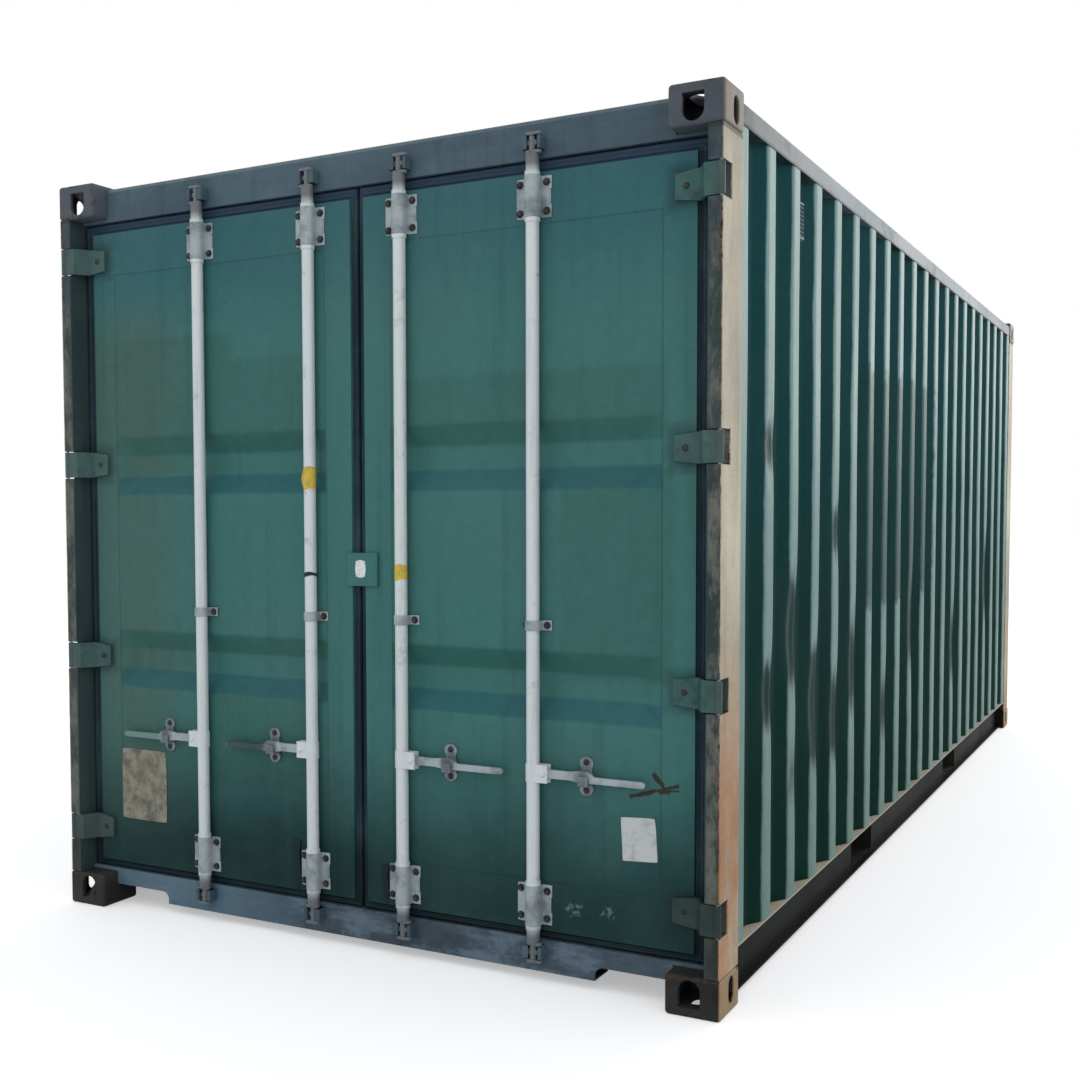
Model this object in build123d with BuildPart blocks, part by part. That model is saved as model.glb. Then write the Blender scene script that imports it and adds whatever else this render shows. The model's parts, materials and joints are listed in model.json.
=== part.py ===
from build123d import *
import os

# A 20 ft dry freight container, 8 ft 6 in high, in millimetres.
# X runs along the length with the doors at the low end, Y across, Z up, and the floor at zero.

# Overall
length = 6058.0
width = 2438.0
height = 2591.0

# Corner castings
casting_x = 178.0
casting_y = 162.0
casting_z = 118.0
casting_wall = 16.0
casting_face = 28.0
casting_back = 10.0
slot_inset_x = 102.5
slot_inset_y = 89.5
slot_length = 124.0
slot_width = 63.5
hole_height = 79.5
side_hole_width = 51.0
end_hole_width = 63.5

# Clearances
running_gap = 5.0
pin_gap = 0.3
seat_gap = 0.3

# Door end: depths are measured inwards from the outer plane of the castings
post_face = 4.0
hinge_recess = 22.0
hinge_chamfer = 10.0
hinge_step_start = 66.0
hinge_step_end = 82.0
post_skin = 4.0
post_front_width = 48.0
post_stop_width = 70.0
post_depth = casting_x
post_wall = 6.0
stop_depth = 125.0
door_face = 70.0
door_thickness = 50.0
end_frame_face = 72.0

# Header and sill
header_drop = 14.0
header_strip = 11.0
header_lip_height = 42.0
header_wall = 4.0
header_slope = 12.0
sill_bottom = 30.0
sill_strip = 12.0
sill_lip_height = 10.0
sill_wall = 5.0
sill_cut_length = 240.0
sill_cut_top = 72.0
sill_cut_radius = 25.0

# Rails
rail_skin = 6.0
rail_drop = 27.0
top_rail_size = 60.0
top_rail_wall = 3.0
bottom_rail_bottom = 15.0
bottom_rail_top = 170.0
bottom_rail_flange = 48.5
bottom_rail_lower_flange = 30.0
bottom_rail_wall = 4.5

# Front posts
front_post_skin = 4.0
front_post_side_leg = casting_x
front_post_front_leg = casting_y
front_post_side_depth = 54.0
front_post_front_depth = 60.0

# Corrugated sheets
wall_skin = 8.0
side_depth = 36.0
side_flat_outer = 76.0
side_flat_inner = 70.0
side_slope = 68.0
side_sheet = 2.0
side_least_margin = 60.0
front_depth = 45.6
front_flat_outer = 110.0
front_flat_inner = 104.0
front_slope = 18.0
front_sheet = 2.0
front_least_margin = 60.0
roof_depth = 20.0
roof_flat_high = 91.0
roof_flat_low = 91.0
roof_slope = 13.5
roof_sheet = 2.0
roof_inset = 32.0
roof_least_margin = 80.0

# Floor and underside
floor_thickness = 28.0
crossmember_height = 122.0
crossmember_flange = 45.0
crossmember_wall = 4.0
crossmember_pitch = 300.0
crossmember_least_margin = 100.0
pocket_spacing = 2080.0
pocket_width = 360.0
pocket_height = 115.0
pocket_plate = 6.0
pocket_strap = 200.0

# Ventilators
vent_width = 60.0
vent_height = 130.0
vent_thickness = 18.0
vent_drop = 138.0
vent_pitch_number = 2

# Hinges
pin_depth = 12.0
pin_radius = 5.0
pin_hold = 22.0
knuckle_radius = 10.0
knuckle_height = 90.0
pocket_gap = 4.0
hinge_low_rise = 123.0
hinge_band_rise = 8.0
hinge_high_drop = 97.0
blade_thickness = 8.0
blade_pad = 12.0
blade_reach = 160.0
blade_crank_start = 56.0
blade_crank_end = 86.0
blade_tip_height = 70.0
blade_tip_radius = 10.0

# Door leaves
leaf_hinge_edge = 98.0
leaf_bottom_gap = 30.0
leaf_top_gap = 40.0
leaf_centre_edge = 25.0
leaf_stile = 100.0
leaf_rail = 150.0
panel_sheet = 2.5
band_heights = (903.0, 1592.0)
band_opening = 208.0
band_flat = 72.0
band_depth = 36.0
band_margin = 4.0
gasket_front = 80.0
gasket_back = 116.0
gasket_centre_edge = 5.0

# Locking gear
inner_bar_y = 172.0
outer_bar_y = 628.0
bar_depth = 46.0
bar_radius = 20.0
low_cam_drop = 33.0
high_cam_rise = 41.0
neck_radius = 10.5
collar_radius = 23.0
collar_height = 12.0
collar_gap = 0.5
prong_reach = 17.0
prong_width = 12.0
prong_height = 14.0
horn_long = 29.0
horn_short = 21.0
horn_width = 24.0
horn_height = 9.0
horn_gap = 3.0
keeper_half_width = 31.0
keeper_half_height = 19.0
keeper_cheek = 11.0
keeper_lip_gap = 12.5
keeper_lip = 6.0
prong_gap = 1.0
keeper_plate = 4.0
guide_gap = 0.5
guide_wall = 3.5
guide_flange = 6.0
guide_long_flange = 53.0
guide_short_flange = 34.0
guide_notch_depth = 9.0
guide_notch_height = 46.0
guide_height = 122.0
strap_height = 30.0
low_guide_rise = 80.0
strap_z = 1085.0
high_guide_drop = 74.0

# Handles
handle_z = 643.0
hub_half_height = 27.0
hub_back_radius = 22.5
hub_half_depth = 16.0
hub_reach = 52.0
hub_slot_gap = 1.0
hub_slot_width = 12.0
handle_pin_offset = 38.0
handle_pin_radius = 6.0
handle_root_radius = 14.0
handle_reach = 355.0
handle_half_width = 13.0
handle_bulge_half_width = 18.0
handle_grip_half_width = 10.0
handle_grip_drop = 7.0
retainer_offset = 165.0
retainer_width = 34.0
retainer_lobe_radius = 21.0
retainer_lobe_offset = 38.0
retainer_plate = 6.0
hook_gap = 2.0
hook_wall = 7.0
hook_lip_top = 4.0
hook_width = 30.0

# Plate over the door seam
seam_plate_width = 115.0
seam_plate_height = 107.0
seam_plate_thickness = 5.0
seam_plate_overlap = 40.0
seam_plate_z = 1241.0

half_length = length / 2
half_width = width / 2
slot_spacing_x = length - 2 * slot_inset_x
slot_spacing_y = width - 2 * slot_inset_y
casting_low_face = height - casting_z
header_top = height - header_drop
header_shoulder = header_top - header_slope
header_bottom = casting_low_face - header_strip
header_lip_bottom = header_bottom - header_lip_height
sill_top = casting_z + sill_strip
sill_lip_top = sill_top + sill_lip_height
rail_top = height - rail_drop
leaf_bottom = sill_top + leaf_bottom_gap
leaf_top = header_bottom - leaf_top_gap
low_guide_z = leaf_bottom + low_guide_rise
high_guide_z = leaf_top - high_guide_drop
low_cam_z = sill_top - low_cam_drop
high_cam_z = header_bottom + high_cam_rise
hinge_heights = [leaf_bottom + hinge_low_rise]
hinge_heights += [band_z + hinge_band_rise for band_z in band_heights]
hinge_heights.append(leaf_top - hinge_high_drop)
sides = (("right", -1), ("left", 1))
corner_signs = [(sx, sy) for sx in (-1, 1) for sy in (-1, 1)]
bar_places = (("inner", inner_bar_y), ("outer", outer_bar_y))

os.makedirs("parts", exist_ok=True)


def save(builder, name):
    """Label a finished sub-part and write it under the same name."""
    builder.part.label = name
    export_step(builder.part, f"parts/{name}.step")


def rear(depth):
    """X of a plane this far in from the door-end face of the castings."""
    return -half_length + depth


def front(depth):
    """X of a plane this far in from the blind-end face of the castings."""
    return half_length - depth


def inboard(side, depth):
    """Y of a plane this far in from the outer side face of the castings."""
    return side * (half_width - depth)


def block(low, high, mode=Mode.ADD):
    """A box between two corners, given in any order."""
    centre = tuple((a + b) / 2 for a, b in zip(low, high))
    size = [abs(a - b) for a, b in zip(low, high)]
    with Locations(centre):
        Box(*size, mode=mode)


def wave_count(room, margin, flat_first, slope, flat_second):
    """Whole waves that fit in a room, with at least this margin left at both ends."""
    return int((room - 2 * margin + flat_first) // (flat_first + 2 * slope + flat_second))


def corrugation(start, count, flat_first, slope, flat_second):
    """Stations and levels (0 or 1) of a trapezoid wave that begins and ends at level 0."""
    points = []
    at = start
    for _ in range(count):
        points += [(at, 0), (at + slope, 1), (at + slope + flat_second, 1)]
        at += 2 * slope + flat_second
        points.append((at, 0))
        at += flat_first
    return points


# Corner castings: hollow blocks with one slot above or below and a hole in each outer face
for level_name, level in (("top", 1), ("bottom", -1)):
    outer_z = height if level > 0 else 0.0
    inner_z = outer_z - level * casting_z
    hole_z = outer_z - level * (casting_face + hole_height / 2)
    with BuildPart() as castings:
        for sx, sy in corner_signs:
            outer_corner = (sx * half_length, sy * half_width, outer_z)
            inner_corner = (sx * (half_length - casting_x), sy * (half_width - casting_y), inner_z)
            block(outer_corner, inner_corner)
        for sx, sy in corner_signs:
            cavity_low = (
                sx * (half_length - casting_wall),
                sy * (half_width - casting_wall),
                outer_z - level * casting_face,
            )
            cavity_high = (
                sx * (half_length - casting_x + casting_back),
                sy * (half_width - casting_y + casting_back),
                inner_z + level * casting_back,
            )
            block(cavity_low, cavity_high, mode=Mode.SUBTRACT)
        with BuildSketch(Plane.XY.offset(outer_z)):
            with GridLocations(slot_spacing_x, slot_spacing_y, 2, 2):
                SlotOverall(slot_length, slot_width)
        extrude(amount=-level * casting_face, mode=Mode.SUBTRACT)
        for sy in (-1, 1):
            with BuildSketch(Plane.XZ.offset(-sy * half_width)):
                for sx in (-1, 1):
                    with Locations((sx * slot_spacing_x / 2, hole_z)):
                        SlotOverall(hole_height, side_hole_width, rotation=90)
            extrude(amount=sy * casting_wall, mode=Mode.SUBTRACT)
        for sx in (-1, 1):
            with BuildSketch(Plane.YZ.offset(sx * half_length)):
                for sy in (-1, 1):
                    round_z = hole_z - level * (hole_height - end_hole_width) / 2
                    flat_z = hole_z + level * hole_height / 2
                    with Locations((sy * slot_spacing_y / 2, round_z)):
                        Circle(end_hole_width / 2)
                    with Locations((sy * slot_spacing_y / 2, (round_z + flat_z) / 2)):
                        Rectangle(end_hole_width, abs(flat_z - round_z))
            extrude(amount=-sx * casting_wall, mode=Mode.SUBTRACT)
    save(castings, f"{level_name}_corner_castings")

post_length = height - 2 * casting_z

# Rear posts: a hollow section with a door stop, and a pocket in its outer corner at each hinge
pocket_half_height = knuckle_height / 2 + pocket_gap
pin_half_length = pocket_half_height + pin_hold
for side_name, side in sides:
    stop_outline = [
        (post_depth, post_skin),
        (post_depth, post_stop_width),
        (stop_depth, post_stop_width),
        (stop_depth, post_front_width),
    ]
    post_outline = [(post_face, post_front_width), (post_face, post_skin)] + stop_outline
    pocket_outline = [
        (hinge_recess, post_front_width),
        (hinge_recess, hinge_recess + hinge_chamfer),
        (hinge_recess + hinge_chamfer, hinge_recess),
        (hinge_step_start, hinge_recess),
        (hinge_step_end, post_skin),
    ] + stop_outline
    post_points = [(rear(e), inboard(side, d)) for e, d in post_outline]
    pocket_points = [(rear(e), inboard(side, d)) for e, d in pocket_outline]
    with BuildPart() as rear_post:
        with BuildSketch(Plane.XY.offset(casting_z)):
            with BuildLine():
                Polyline(post_points, close=True)
            make_face()
        extrude(amount=post_length)
        with BuildSketch(Plane.XY.offset(casting_z)):
            with BuildLine():
                Polyline(pocket_points, close=True)
            make_face()
            offset(amount=-post_wall, kind=Kind.INTERSECTION, mode=Mode.REPLACE)
        extrude(amount=post_length, mode=Mode.SUBTRACT)
        for hinge_z in hinge_heights:
            with BuildSketch(Plane.XY.offset(hinge_z - pocket_half_height)):
                with BuildLine():
                    Polyline(post_points, close=True)
                make_face()
                with BuildLine():
                    Polyline(pocket_points, close=True)
                make_face(mode=Mode.SUBTRACT)
            extrude(amount=2 * pocket_half_height, mode=Mode.SUBTRACT)
            with Locations((rear(pin_depth), inboard(side, pin_depth), hinge_z)):
                Cylinder(pin_radius + pin_gap, 2 * pin_half_length, mode=Mode.SUBTRACT)
    save(rear_post, f"{side_name}_rear_post")

# Front posts: a hollow angle with one leg along the side and one along the front
for side_name, side in sides:
    outline = [
        (front_post_skin, front_post_skin),
        (front_post_side_leg, front_post_skin),
        (front_post_side_leg, front_post_side_depth),
        (front_post_front_depth, front_post_side_depth),
        (front_post_front_depth, front_post_front_leg),
        (front_post_skin, front_post_front_leg),
    ]
    with BuildPart() as front_post:
        with BuildSketch(Plane.XY.offset(casting_z)):
            with BuildLine():
                Polyline([(front(e), inboard(side, d)) for e, d in outline], close=True)
            make_face()
            offset(amount=-post_wall, kind=Kind.INTERSECTION, mode=Mode.SUBTRACT)
        extrude(amount=post_length)
    save(front_post, f"{side_name}_front_post")

# Door header: a hollow beam between the castings, with a strip and a stop lip that reach the posts
casting_inner_y = half_width - casting_y
post_inner_y = half_width - post_front_width
stop_inner_y = half_width - post_stop_width
with BuildPart() as door_header:
    with BuildSketch(Plane.XZ):
        with BuildLine():
            Polyline(
                (rear(end_frame_face), header_bottom),
                (rear(end_frame_face), header_shoulder),
                (rear(end_frame_face + header_slope), header_top),
                (rear(post_depth), header_top),
                (rear(post_depth), header_lip_bottom),
                (rear(stop_depth), header_lip_bottom),
                (rear(stop_depth), header_bottom),
                close=True,
            )
        make_face()
        offset(amount=-header_wall, kind=Kind.INTERSECTION, mode=Mode.SUBTRACT)
    extrude(amount=casting_inner_y, both=True)
    for side in (-1, 1):
        block(
            (rear(end_frame_face), side * casting_inner_y, header_bottom),
            (rear(stop_depth), side * post_inner_y, casting_low_face),
        )
        block(
            (rear(stop_depth), side * casting_inner_y, header_lip_bottom),
            (rear(post_depth), side * stop_inner_y, casting_low_face),
        )
save(door_header, "door_header")

# Door sill: a hollow beam with a raised stop behind the doors, notched from below at both ends
with BuildPart() as door_sill:
    with BuildSketch(Plane.XZ):
        with BuildLine():
            Polyline(
                (rear(end_frame_face), sill_bottom),
                (rear(end_frame_face), sill_top),
                (rear(stop_depth), sill_top),
                (rear(stop_depth), sill_lip_top),
                (rear(post_depth), sill_lip_top),
                (rear(post_depth), sill_bottom),
                close=True,
            )
        make_face()
        offset(amount=-sill_wall, kind=Kind.INTERSECTION, mode=Mode.SUBTRACT)
    extrude(amount=casting_inner_y, both=True)
    with BuildSketch(Plane.YZ.offset(rear(end_frame_face))) as notch_sketch:
        for side in (-1, 1):
            with Locations((side * casting_inner_y, sill_bottom)):
                Rectangle(2 * sill_cut_length, 2 * (sill_cut_top - sill_bottom))
        fillet(notch_sketch.vertices(), sill_cut_radius)
    extrude(amount=post_depth - end_frame_face, mode=Mode.SUBTRACT)
    for side in (-1, 1):
        block(
            (rear(end_frame_face), side * casting_inner_y, casting_z),
            (rear(stop_depth), side * post_inner_y, sill_top),
        )
        block(
            (rear(stop_depth), side * casting_inner_y, casting_z),
            (rear(post_depth), side * stop_inner_y, sill_lip_top),
        )
save(door_sill, "door_sill")

# Top rails: square tubes between the castings, along both sides and across the blind end
casting_inner_x = half_length - casting_x
top_rail_low = rail_top - top_rail_size
with BuildPart() as top_side_rails:
    with BuildSketch(Plane.YZ):
        for side in (-1, 1):
            with Locations((inboard(side, rail_skin + top_rail_size / 2), rail_top - top_rail_size / 2)):
                Rectangle(top_rail_size, top_rail_size)
                inner_size = top_rail_size - 2 * top_rail_wall
                Rectangle(inner_size, inner_size, mode=Mode.SUBTRACT)
    extrude(amount=casting_inner_x, both=True)
save(top_side_rails, "top_side_rails")

with BuildPart() as front_top_rail:
    with BuildSketch(Plane.XZ):
        with Locations((front(rail_skin + top_rail_size / 2), rail_top - top_rail_size / 2)):
            Rectangle(top_rail_size, top_rail_size)
            Rectangle(inner_size, inner_size, mode=Mode.SUBTRACT)
    extrude(amount=casting_inner_y, both=True)
save(front_top_rail, "front_top_rail")

with BuildPart() as front_bottom_rail:
    rail_height = bottom_rail_top - bottom_rail_bottom
    with BuildSketch(Plane.XZ):
        with Locations((front(rail_skin + top_rail_size / 2), bottom_rail_bottom + rail_height / 2)):
            Rectangle(top_rail_size, rail_height)
            Rectangle(inner_size, rail_height - 2 * top_rail_wall, mode=Mode.SUBTRACT)
    extrude(amount=casting_inner_y, both=True)
save(front_bottom_rail, "front_bottom_rail")

# Bottom side rails: channels with both flanges outwards, cut through where the fork pockets pass
pocket_top = bottom_rail_top - floor_thickness
pocket_roof = pocket_top - pocket_plate
pocket_floor = pocket_roof - pocket_height
web_inner = rail_skin + bottom_rail_flange
web_outer = web_inner - bottom_rail_wall
for side_name, side in sides:
    outline = [
        (rail_skin, bottom_rail_top),
        (web_inner, bottom_rail_top),
        (web_inner, bottom_rail_bottom),
        (web_inner - bottom_rail_lower_flange, bottom_rail_bottom),
        (web_inner - bottom_rail_lower_flange, bottom_rail_bottom + bottom_rail_wall),
        (web_outer, bottom_rail_bottom + bottom_rail_wall),
        (web_outer, bottom_rail_top - bottom_rail_wall),
        (rail_skin, bottom_rail_top - bottom_rail_wall),
    ]
    with BuildPart() as bottom_rail:
        with BuildSketch(Plane.YZ):
            with BuildLine():
                Polyline([(inboard(side, d), z) for d, z in outline], close=True)
            make_face()
        extrude(amount=casting_inner_x, both=True)
        for along in (-1, 1):
            pocket_x = along * pocket_spacing / 2
            block(
                (pocket_x - pocket_width / 2, inboard(side, web_outer), pocket_floor),
                (pocket_x + pocket_width / 2, inboard(side, web_inner), pocket_roof),
                mode=Mode.SUBTRACT,
            )
    save(bottom_rail, f"{side_name}_bottom_rail")

# Side walls: one corrugated sheet each, standing on the bottom rail under the top rail
wall_start = rear(post_depth)
wall_end = front(front_post_side_leg)
side_room = wall_end - wall_start
side_count = wave_count(side_room, side_least_margin, side_flat_outer, side_slope, side_flat_inner)
side_wave = side_count * (2 * side_slope + side_flat_inner + side_flat_outer) - side_flat_outer
side_margin = (side_room - side_wave) / 2
side_stations = [(wall_start, 0)]
side_stations += corrugation(
    wall_start + side_margin, side_count, side_flat_outer, side_slope, side_flat_inner
)
side_stations.append((wall_end, 0))
for side_name, side in sides:
    outer_line = [(x, inboard(side, wall_skin + level * side_depth)) for x, level in side_stations]
    inner_line = [
        (x, inboard(side, wall_skin + level * side_depth + side_sheet)) for x, level in reversed(side_stations)
    ]
    with BuildPart() as side_wall:
        with BuildSketch(Plane.XY.offset(bottom_rail_top)):
            with BuildLine():
                Polyline(outer_line + inner_line, close=True)
            make_face()
        extrude(amount=top_rail_low - bottom_rail_top)
    save(side_wall, f"{side_name}_side_wall")

# Front wall: a deeper and squarer corrugation
front_half = half_width - front_post_front_leg
front_room = 2 * front_half
front_count = wave_count(front_room, front_least_margin, front_flat_outer, front_slope, front_flat_inner)
front_wave = front_count * (2 * front_slope + front_flat_inner + front_flat_outer) - front_flat_outer
front_stations = [(-front_half, 0)]
front_stations += corrugation(-front_wave / 2, front_count, front_flat_outer, front_slope, front_flat_inner)
front_stations.append((front_half, 0))
outer_line = [(front(wall_skin + level * front_depth), y) for y, level in front_stations]
inner_line = [
    (front(wall_skin + level * front_depth + front_sheet), y) for y, level in reversed(front_stations)
]
with BuildPart() as front_wall:
    with BuildSketch(Plane.XY.offset(bottom_rail_top)):
        with BuildLine():
            Polyline(outer_line + inner_line, close=True)
        make_face()
    extrude(amount=top_rail_low - bottom_rail_top)
save(front_wall, "front_wall")

# Roof: a shallow corrugation across the width, with a flat strip on the header and on the front top rail
roof_half = casting_inner_x
roof_room = 2 * roof_half
roof_count = wave_count(roof_room, roof_least_margin, roof_flat_low, roof_slope, roof_flat_high)
roof_wave = roof_count * (2 * roof_slope + roof_flat_high + roof_flat_low) - roof_flat_low
roof_stations = [(-roof_half, 0)]
roof_stations += corrugation(-roof_wave / 2, roof_count, roof_flat_low, roof_slope, roof_flat_high)
roof_stations.append((roof_half, 0))
low_line = [(x, rail_top + level * roof_depth) for x, level in roof_stations]
high_line = [(x, rail_top + level * roof_depth + roof_sheet) for x, level in reversed(roof_stations)]
with BuildPart() as roof:
    with BuildSketch(Plane.XZ):
        with BuildLine():
            Polyline(low_line + high_line, close=True)
        make_face()
    extrude(amount=half_width - rail_skin - roof_inset, both=True)
    strip_start = roof_half + seat_gap
    for near_x, far_x, strip_z in (
        (-strip_start, rear(end_frame_face + header_slope), header_top),
        (strip_start, front(rail_skin), rail_top),
    ):
        block(
            (near_x, -casting_inner_y, strip_z),
            (far_x, casting_inner_y, strip_z + roof_sheet),
        )
save(roof, "roof")

# Floor boards between the rails, from the sill to the front bottom rail
floor_half = half_width - web_inner
floor_front = front(rail_skin + top_rail_size)
with BuildPart() as floor:
    block(
        (rear(post_depth), -floor_half, pocket_top),
        (floor_front, floor_half, bottom_rail_top),
    )
save(floor, "floor")

# Crossmembers: channels under the floor, left out where a fork pocket passes
crossmember_low = pocket_top - crossmember_height
crossmember_room = floor_front - rear(post_depth) - 2 * crossmember_least_margin
crossmember_count = int(crossmember_room // crossmember_pitch) + 1
first_crossmember = -(crossmember_count - 1) * crossmember_pitch / 2
pocket_reach = pocket_width / 2 + pocket_plate + crossmember_flange
with BuildPart() as crossmembers:
    with BuildSketch(Plane.XZ):
        for number in range(crossmember_count):
            at = first_crossmember + number * crossmember_pitch
            if abs(abs(at) - pocket_spacing / 2) < pocket_reach:
                continue
            with Locations((at, crossmember_low + crossmember_height / 2)):
                Rectangle(crossmember_flange, crossmember_height)
            with Locations((at + crossmember_wall, crossmember_low + crossmember_height / 2)):
                Rectangle(
                    crossmember_flange, crossmember_height - 2 * crossmember_wall, mode=Mode.SUBTRACT
                )
    extrude(amount=floor_half, both=True)
save(crossmembers, "crossmembers")

# Fork pockets: tunnels from side to side, closed below only by a strap at each end
with BuildPart() as fork_pockets:
    for along in (-1, 1):
        pocket_x = along * pocket_spacing / 2
        reach = pocket_width / 2 + pocket_plate
        block((pocket_x - reach, -floor_half, pocket_floor), (pocket_x + reach, floor_half, pocket_top))
        block(
            (pocket_x - pocket_width / 2, -floor_half, pocket_floor),
            (pocket_x + pocket_width / 2, floor_half, pocket_roof),
            mode=Mode.SUBTRACT,
        )
        for side in (-1, 1):
            block(
                (pocket_x - reach, side * floor_half, pocket_floor - bottom_rail_wall),
                (pocket_x + reach, side * (floor_half - pocket_strap), pocket_floor),
            )
save(fork_pockets, "fork_pockets")

# Ventilators: one in a wall valley near the doors, one diagonally opposite
vent_pitch = 2 * side_slope + side_flat_inner + side_flat_outer
valley = side_slope + side_flat_inner / 2
near_x = wall_start + side_margin + vent_pitch_number * vent_pitch + valley
far_x = wall_start + side_margin + (side_count - 1 - vent_pitch_number) * vent_pitch + valley
with BuildPart() as side_vents:
    for side, vent_x in ((-1, near_x), (1, far_x)):
        with BuildSketch(Plane.XZ.offset(-inboard(side, wall_skin + side_depth))):
            with Locations((vent_x, top_rail_low - vent_drop)):
                RectangleRounded(vent_width, vent_height, vent_width / 5)
        extrude(amount=-side * vent_thickness)
save(side_vents, "side_vents")

# Hinge pins: one through each pocket, held in the post above and below it
with BuildPart() as hinge_pins:
    for side in (-1, 1):
        for hinge_z in hinge_heights:
            with Locations((rear(pin_depth), inboard(side, pin_depth), hinge_z)):
                Cylinder(pin_radius, 2 * pin_half_length)
save(hinge_pins, "hinge_pins")

# Cam keepers: a plate on the header or sill with two cheeks, the inner one with a lip.
# The prong that points away from the handle sits behind that lip and turns back from it.
keeper_room = keeper_half_width - keeper_cheek
keeper_front = bar_depth - prong_width / 2 - prong_gap - keeper_lip
with BuildPart() as cam_keepers:
    for bar_name, bar_y in bar_places:
        for side in (-1, 1):
            for cam_z in (low_cam_z, high_cam_z):
                with BuildSketch(Plane.XY.offset(cam_z - keeper_half_height)):
                    with Locations((rear((keeper_front + end_frame_face) / 2), side * bar_y)):
                        Rectangle(end_frame_face - keeper_front, 2 * keeper_half_width)
                    room_front = keeper_front + keeper_lip
                    room_back = end_frame_face - keeper_plate
                    with Locations((rear((room_front + room_back) / 2), side * bar_y)):
                        Rectangle(room_back - room_front, 2 * keeper_room, mode=Mode.SUBTRACT)
                    mouth_y = side * (bar_y + (keeper_room - keeper_lip_gap) / 2)
                    with Locations((rear(keeper_front + keeper_lip / 2), mouth_y)):
                        Rectangle(keeper_lip, keeper_room + keeper_lip_gap, mode=Mode.SUBTRACT)
                extrude(amount=2 * keeper_half_height)
save(cam_keepers, "cam_keepers")

# Door leaves and all that is fixed to them
leaf_outer_y = half_width - leaf_hinge_edge
leaf_back = door_face + door_thickness
leaf_height = leaf_top - leaf_bottom
leaf_middle_z = (leaf_top + leaf_bottom) / 2
leaf_width = leaf_outer_y - leaf_centre_edge
leaf_middle_y = (leaf_outer_y + leaf_centre_edge) / 2
panel_width = leaf_width - 2 * leaf_stile
panel_height = leaf_height - 2 * leaf_rail
gasket_outer_y = half_width - post_front_width - running_gap
gasket_bottom = sill_top + running_gap
gasket_top = header_bottom - running_gap
saddle_radius = bar_radius + guide_gap + guide_wall
for side_name, side in sides:
    # Frame of square tubes, taken as one closed ring
    with BuildPart() as leaf_frame:
        with BuildSketch(Plane.YZ.offset(rear(door_face))):
            with Locations((side * leaf_middle_y, leaf_middle_z)):
                Rectangle(leaf_width, leaf_height)
                Rectangle(panel_width, panel_height, mode=Mode.SUBTRACT)
        extrude(amount=door_thickness)
    save(leaf_frame, f"{side_name}_door_frame")

    # Sheet panel with two pressed bands, each a shallow tray with sloping sides and ends
    band_length = panel_width - 2 * band_margin
    band_run = (band_opening - band_flat) / 2
    with BuildPart() as door_panel:
        block(
            (rear(door_face), side * (leaf_middle_y - panel_width / 2), leaf_bottom + leaf_rail),
            (
                rear(door_face + panel_sheet),
                side * (leaf_middle_y + panel_width / 2),
                leaf_top - leaf_rail,
            ),
        )
        for start, tray_mode in ((panel_sheet, Mode.ADD), (0.0, Mode.SUBTRACT)):
            for band_z in band_heights:
                mouth = rear(door_face + start)
                with BuildSketch(Plane.YZ.offset(mouth)):
                    with Locations((side * leaf_middle_y, band_z)):
                        Rectangle(band_length, band_opening)
                with BuildSketch(Plane.YZ.offset(mouth + band_depth)):
                    with Locations((side * leaf_middle_y, band_z)):
                        Rectangle(band_length - 2 * band_run, band_flat)
                loft(mode=tray_mode)
    save(door_panel, f"{side_name}_door_panel")

    # Rubber gasket round the leaf
    with BuildPart() as gasket:
        with BuildSketch(Plane.YZ.offset(rear(gasket_front))):
            gasket_middle_y = side * (gasket_outer_y + gasket_centre_edge) / 2
            with Locations((gasket_middle_y, (gasket_top + gasket_bottom) / 2)):
                Rectangle(gasket_outer_y - gasket_centre_edge, gasket_top - gasket_bottom)
            with Locations((side * leaf_middle_y, leaf_middle_z)):
                Rectangle(leaf_width, leaf_height, mode=Mode.SUBTRACT)
        extrude(amount=gasket_back - gasket_front)
    save(gasket, f"{side_name}_door_gasket")

    # Hinge blades: a knuckle on the pin, a crank past the post and a tapered plate on the leaf
    half_blade = blade_thickness / 2
    blade_outline = [
        (pin_depth - half_blade, pin_depth),
        (pin_depth - half_blade, blade_crank_start + half_blade),
        (door_face - blade_pad, blade_crank_end),
        (door_face - blade_pad, blade_reach),
        (door_face, blade_reach),
        (door_face, blade_crank_end - half_blade),
        (pin_depth + half_blade, blade_crank_start - half_blade),
        (pin_depth + half_blade, pin_depth),
    ]
    with BuildPart() as hinge_blades:
        for hinge_z in hinge_heights:
            with BuildSketch(Plane.XY.offset(hinge_z - knuckle_height / 2)):
                with BuildLine():
                    Polyline([(rear(e), inboard(side, d)) for e, d in blade_outline], close=True)
                make_face()
                with Locations((rear(pin_depth), inboard(side, pin_depth))):
                    Circle(knuckle_radius)
                    Circle(pin_radius + pin_gap, mode=Mode.SUBTRACT)
            extrude(amount=knuckle_height)
        with BuildSketch(Plane.YZ.offset(-half_length)) as blade_shape:
            for hinge_z in hinge_heights:
                with BuildLine():
                    Polyline(
                        (inboard(side, 0), hinge_z - knuckle_height / 2),
                        (inboard(side, blade_crank_end), hinge_z - knuckle_height / 2),
                        (inboard(side, blade_reach), hinge_z - blade_tip_height / 2),
                        (inboard(side, blade_reach), hinge_z + blade_tip_height / 2),
                        (inboard(side, blade_crank_end), hinge_z + knuckle_height / 2),
                        (inboard(side, 0), hinge_z + knuckle_height / 2),
                        close=True,
                    )
                make_face()
            tips = blade_shape.vertices().group_by(Axis.Y)[0 if side > 0 else -1]
            fillet(tips, blade_tip_radius)
        extrude(amount=leaf_back, mode=Mode.INTERSECT)
    save(hinge_blades, f"{side_name}_door_hinges")

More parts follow.
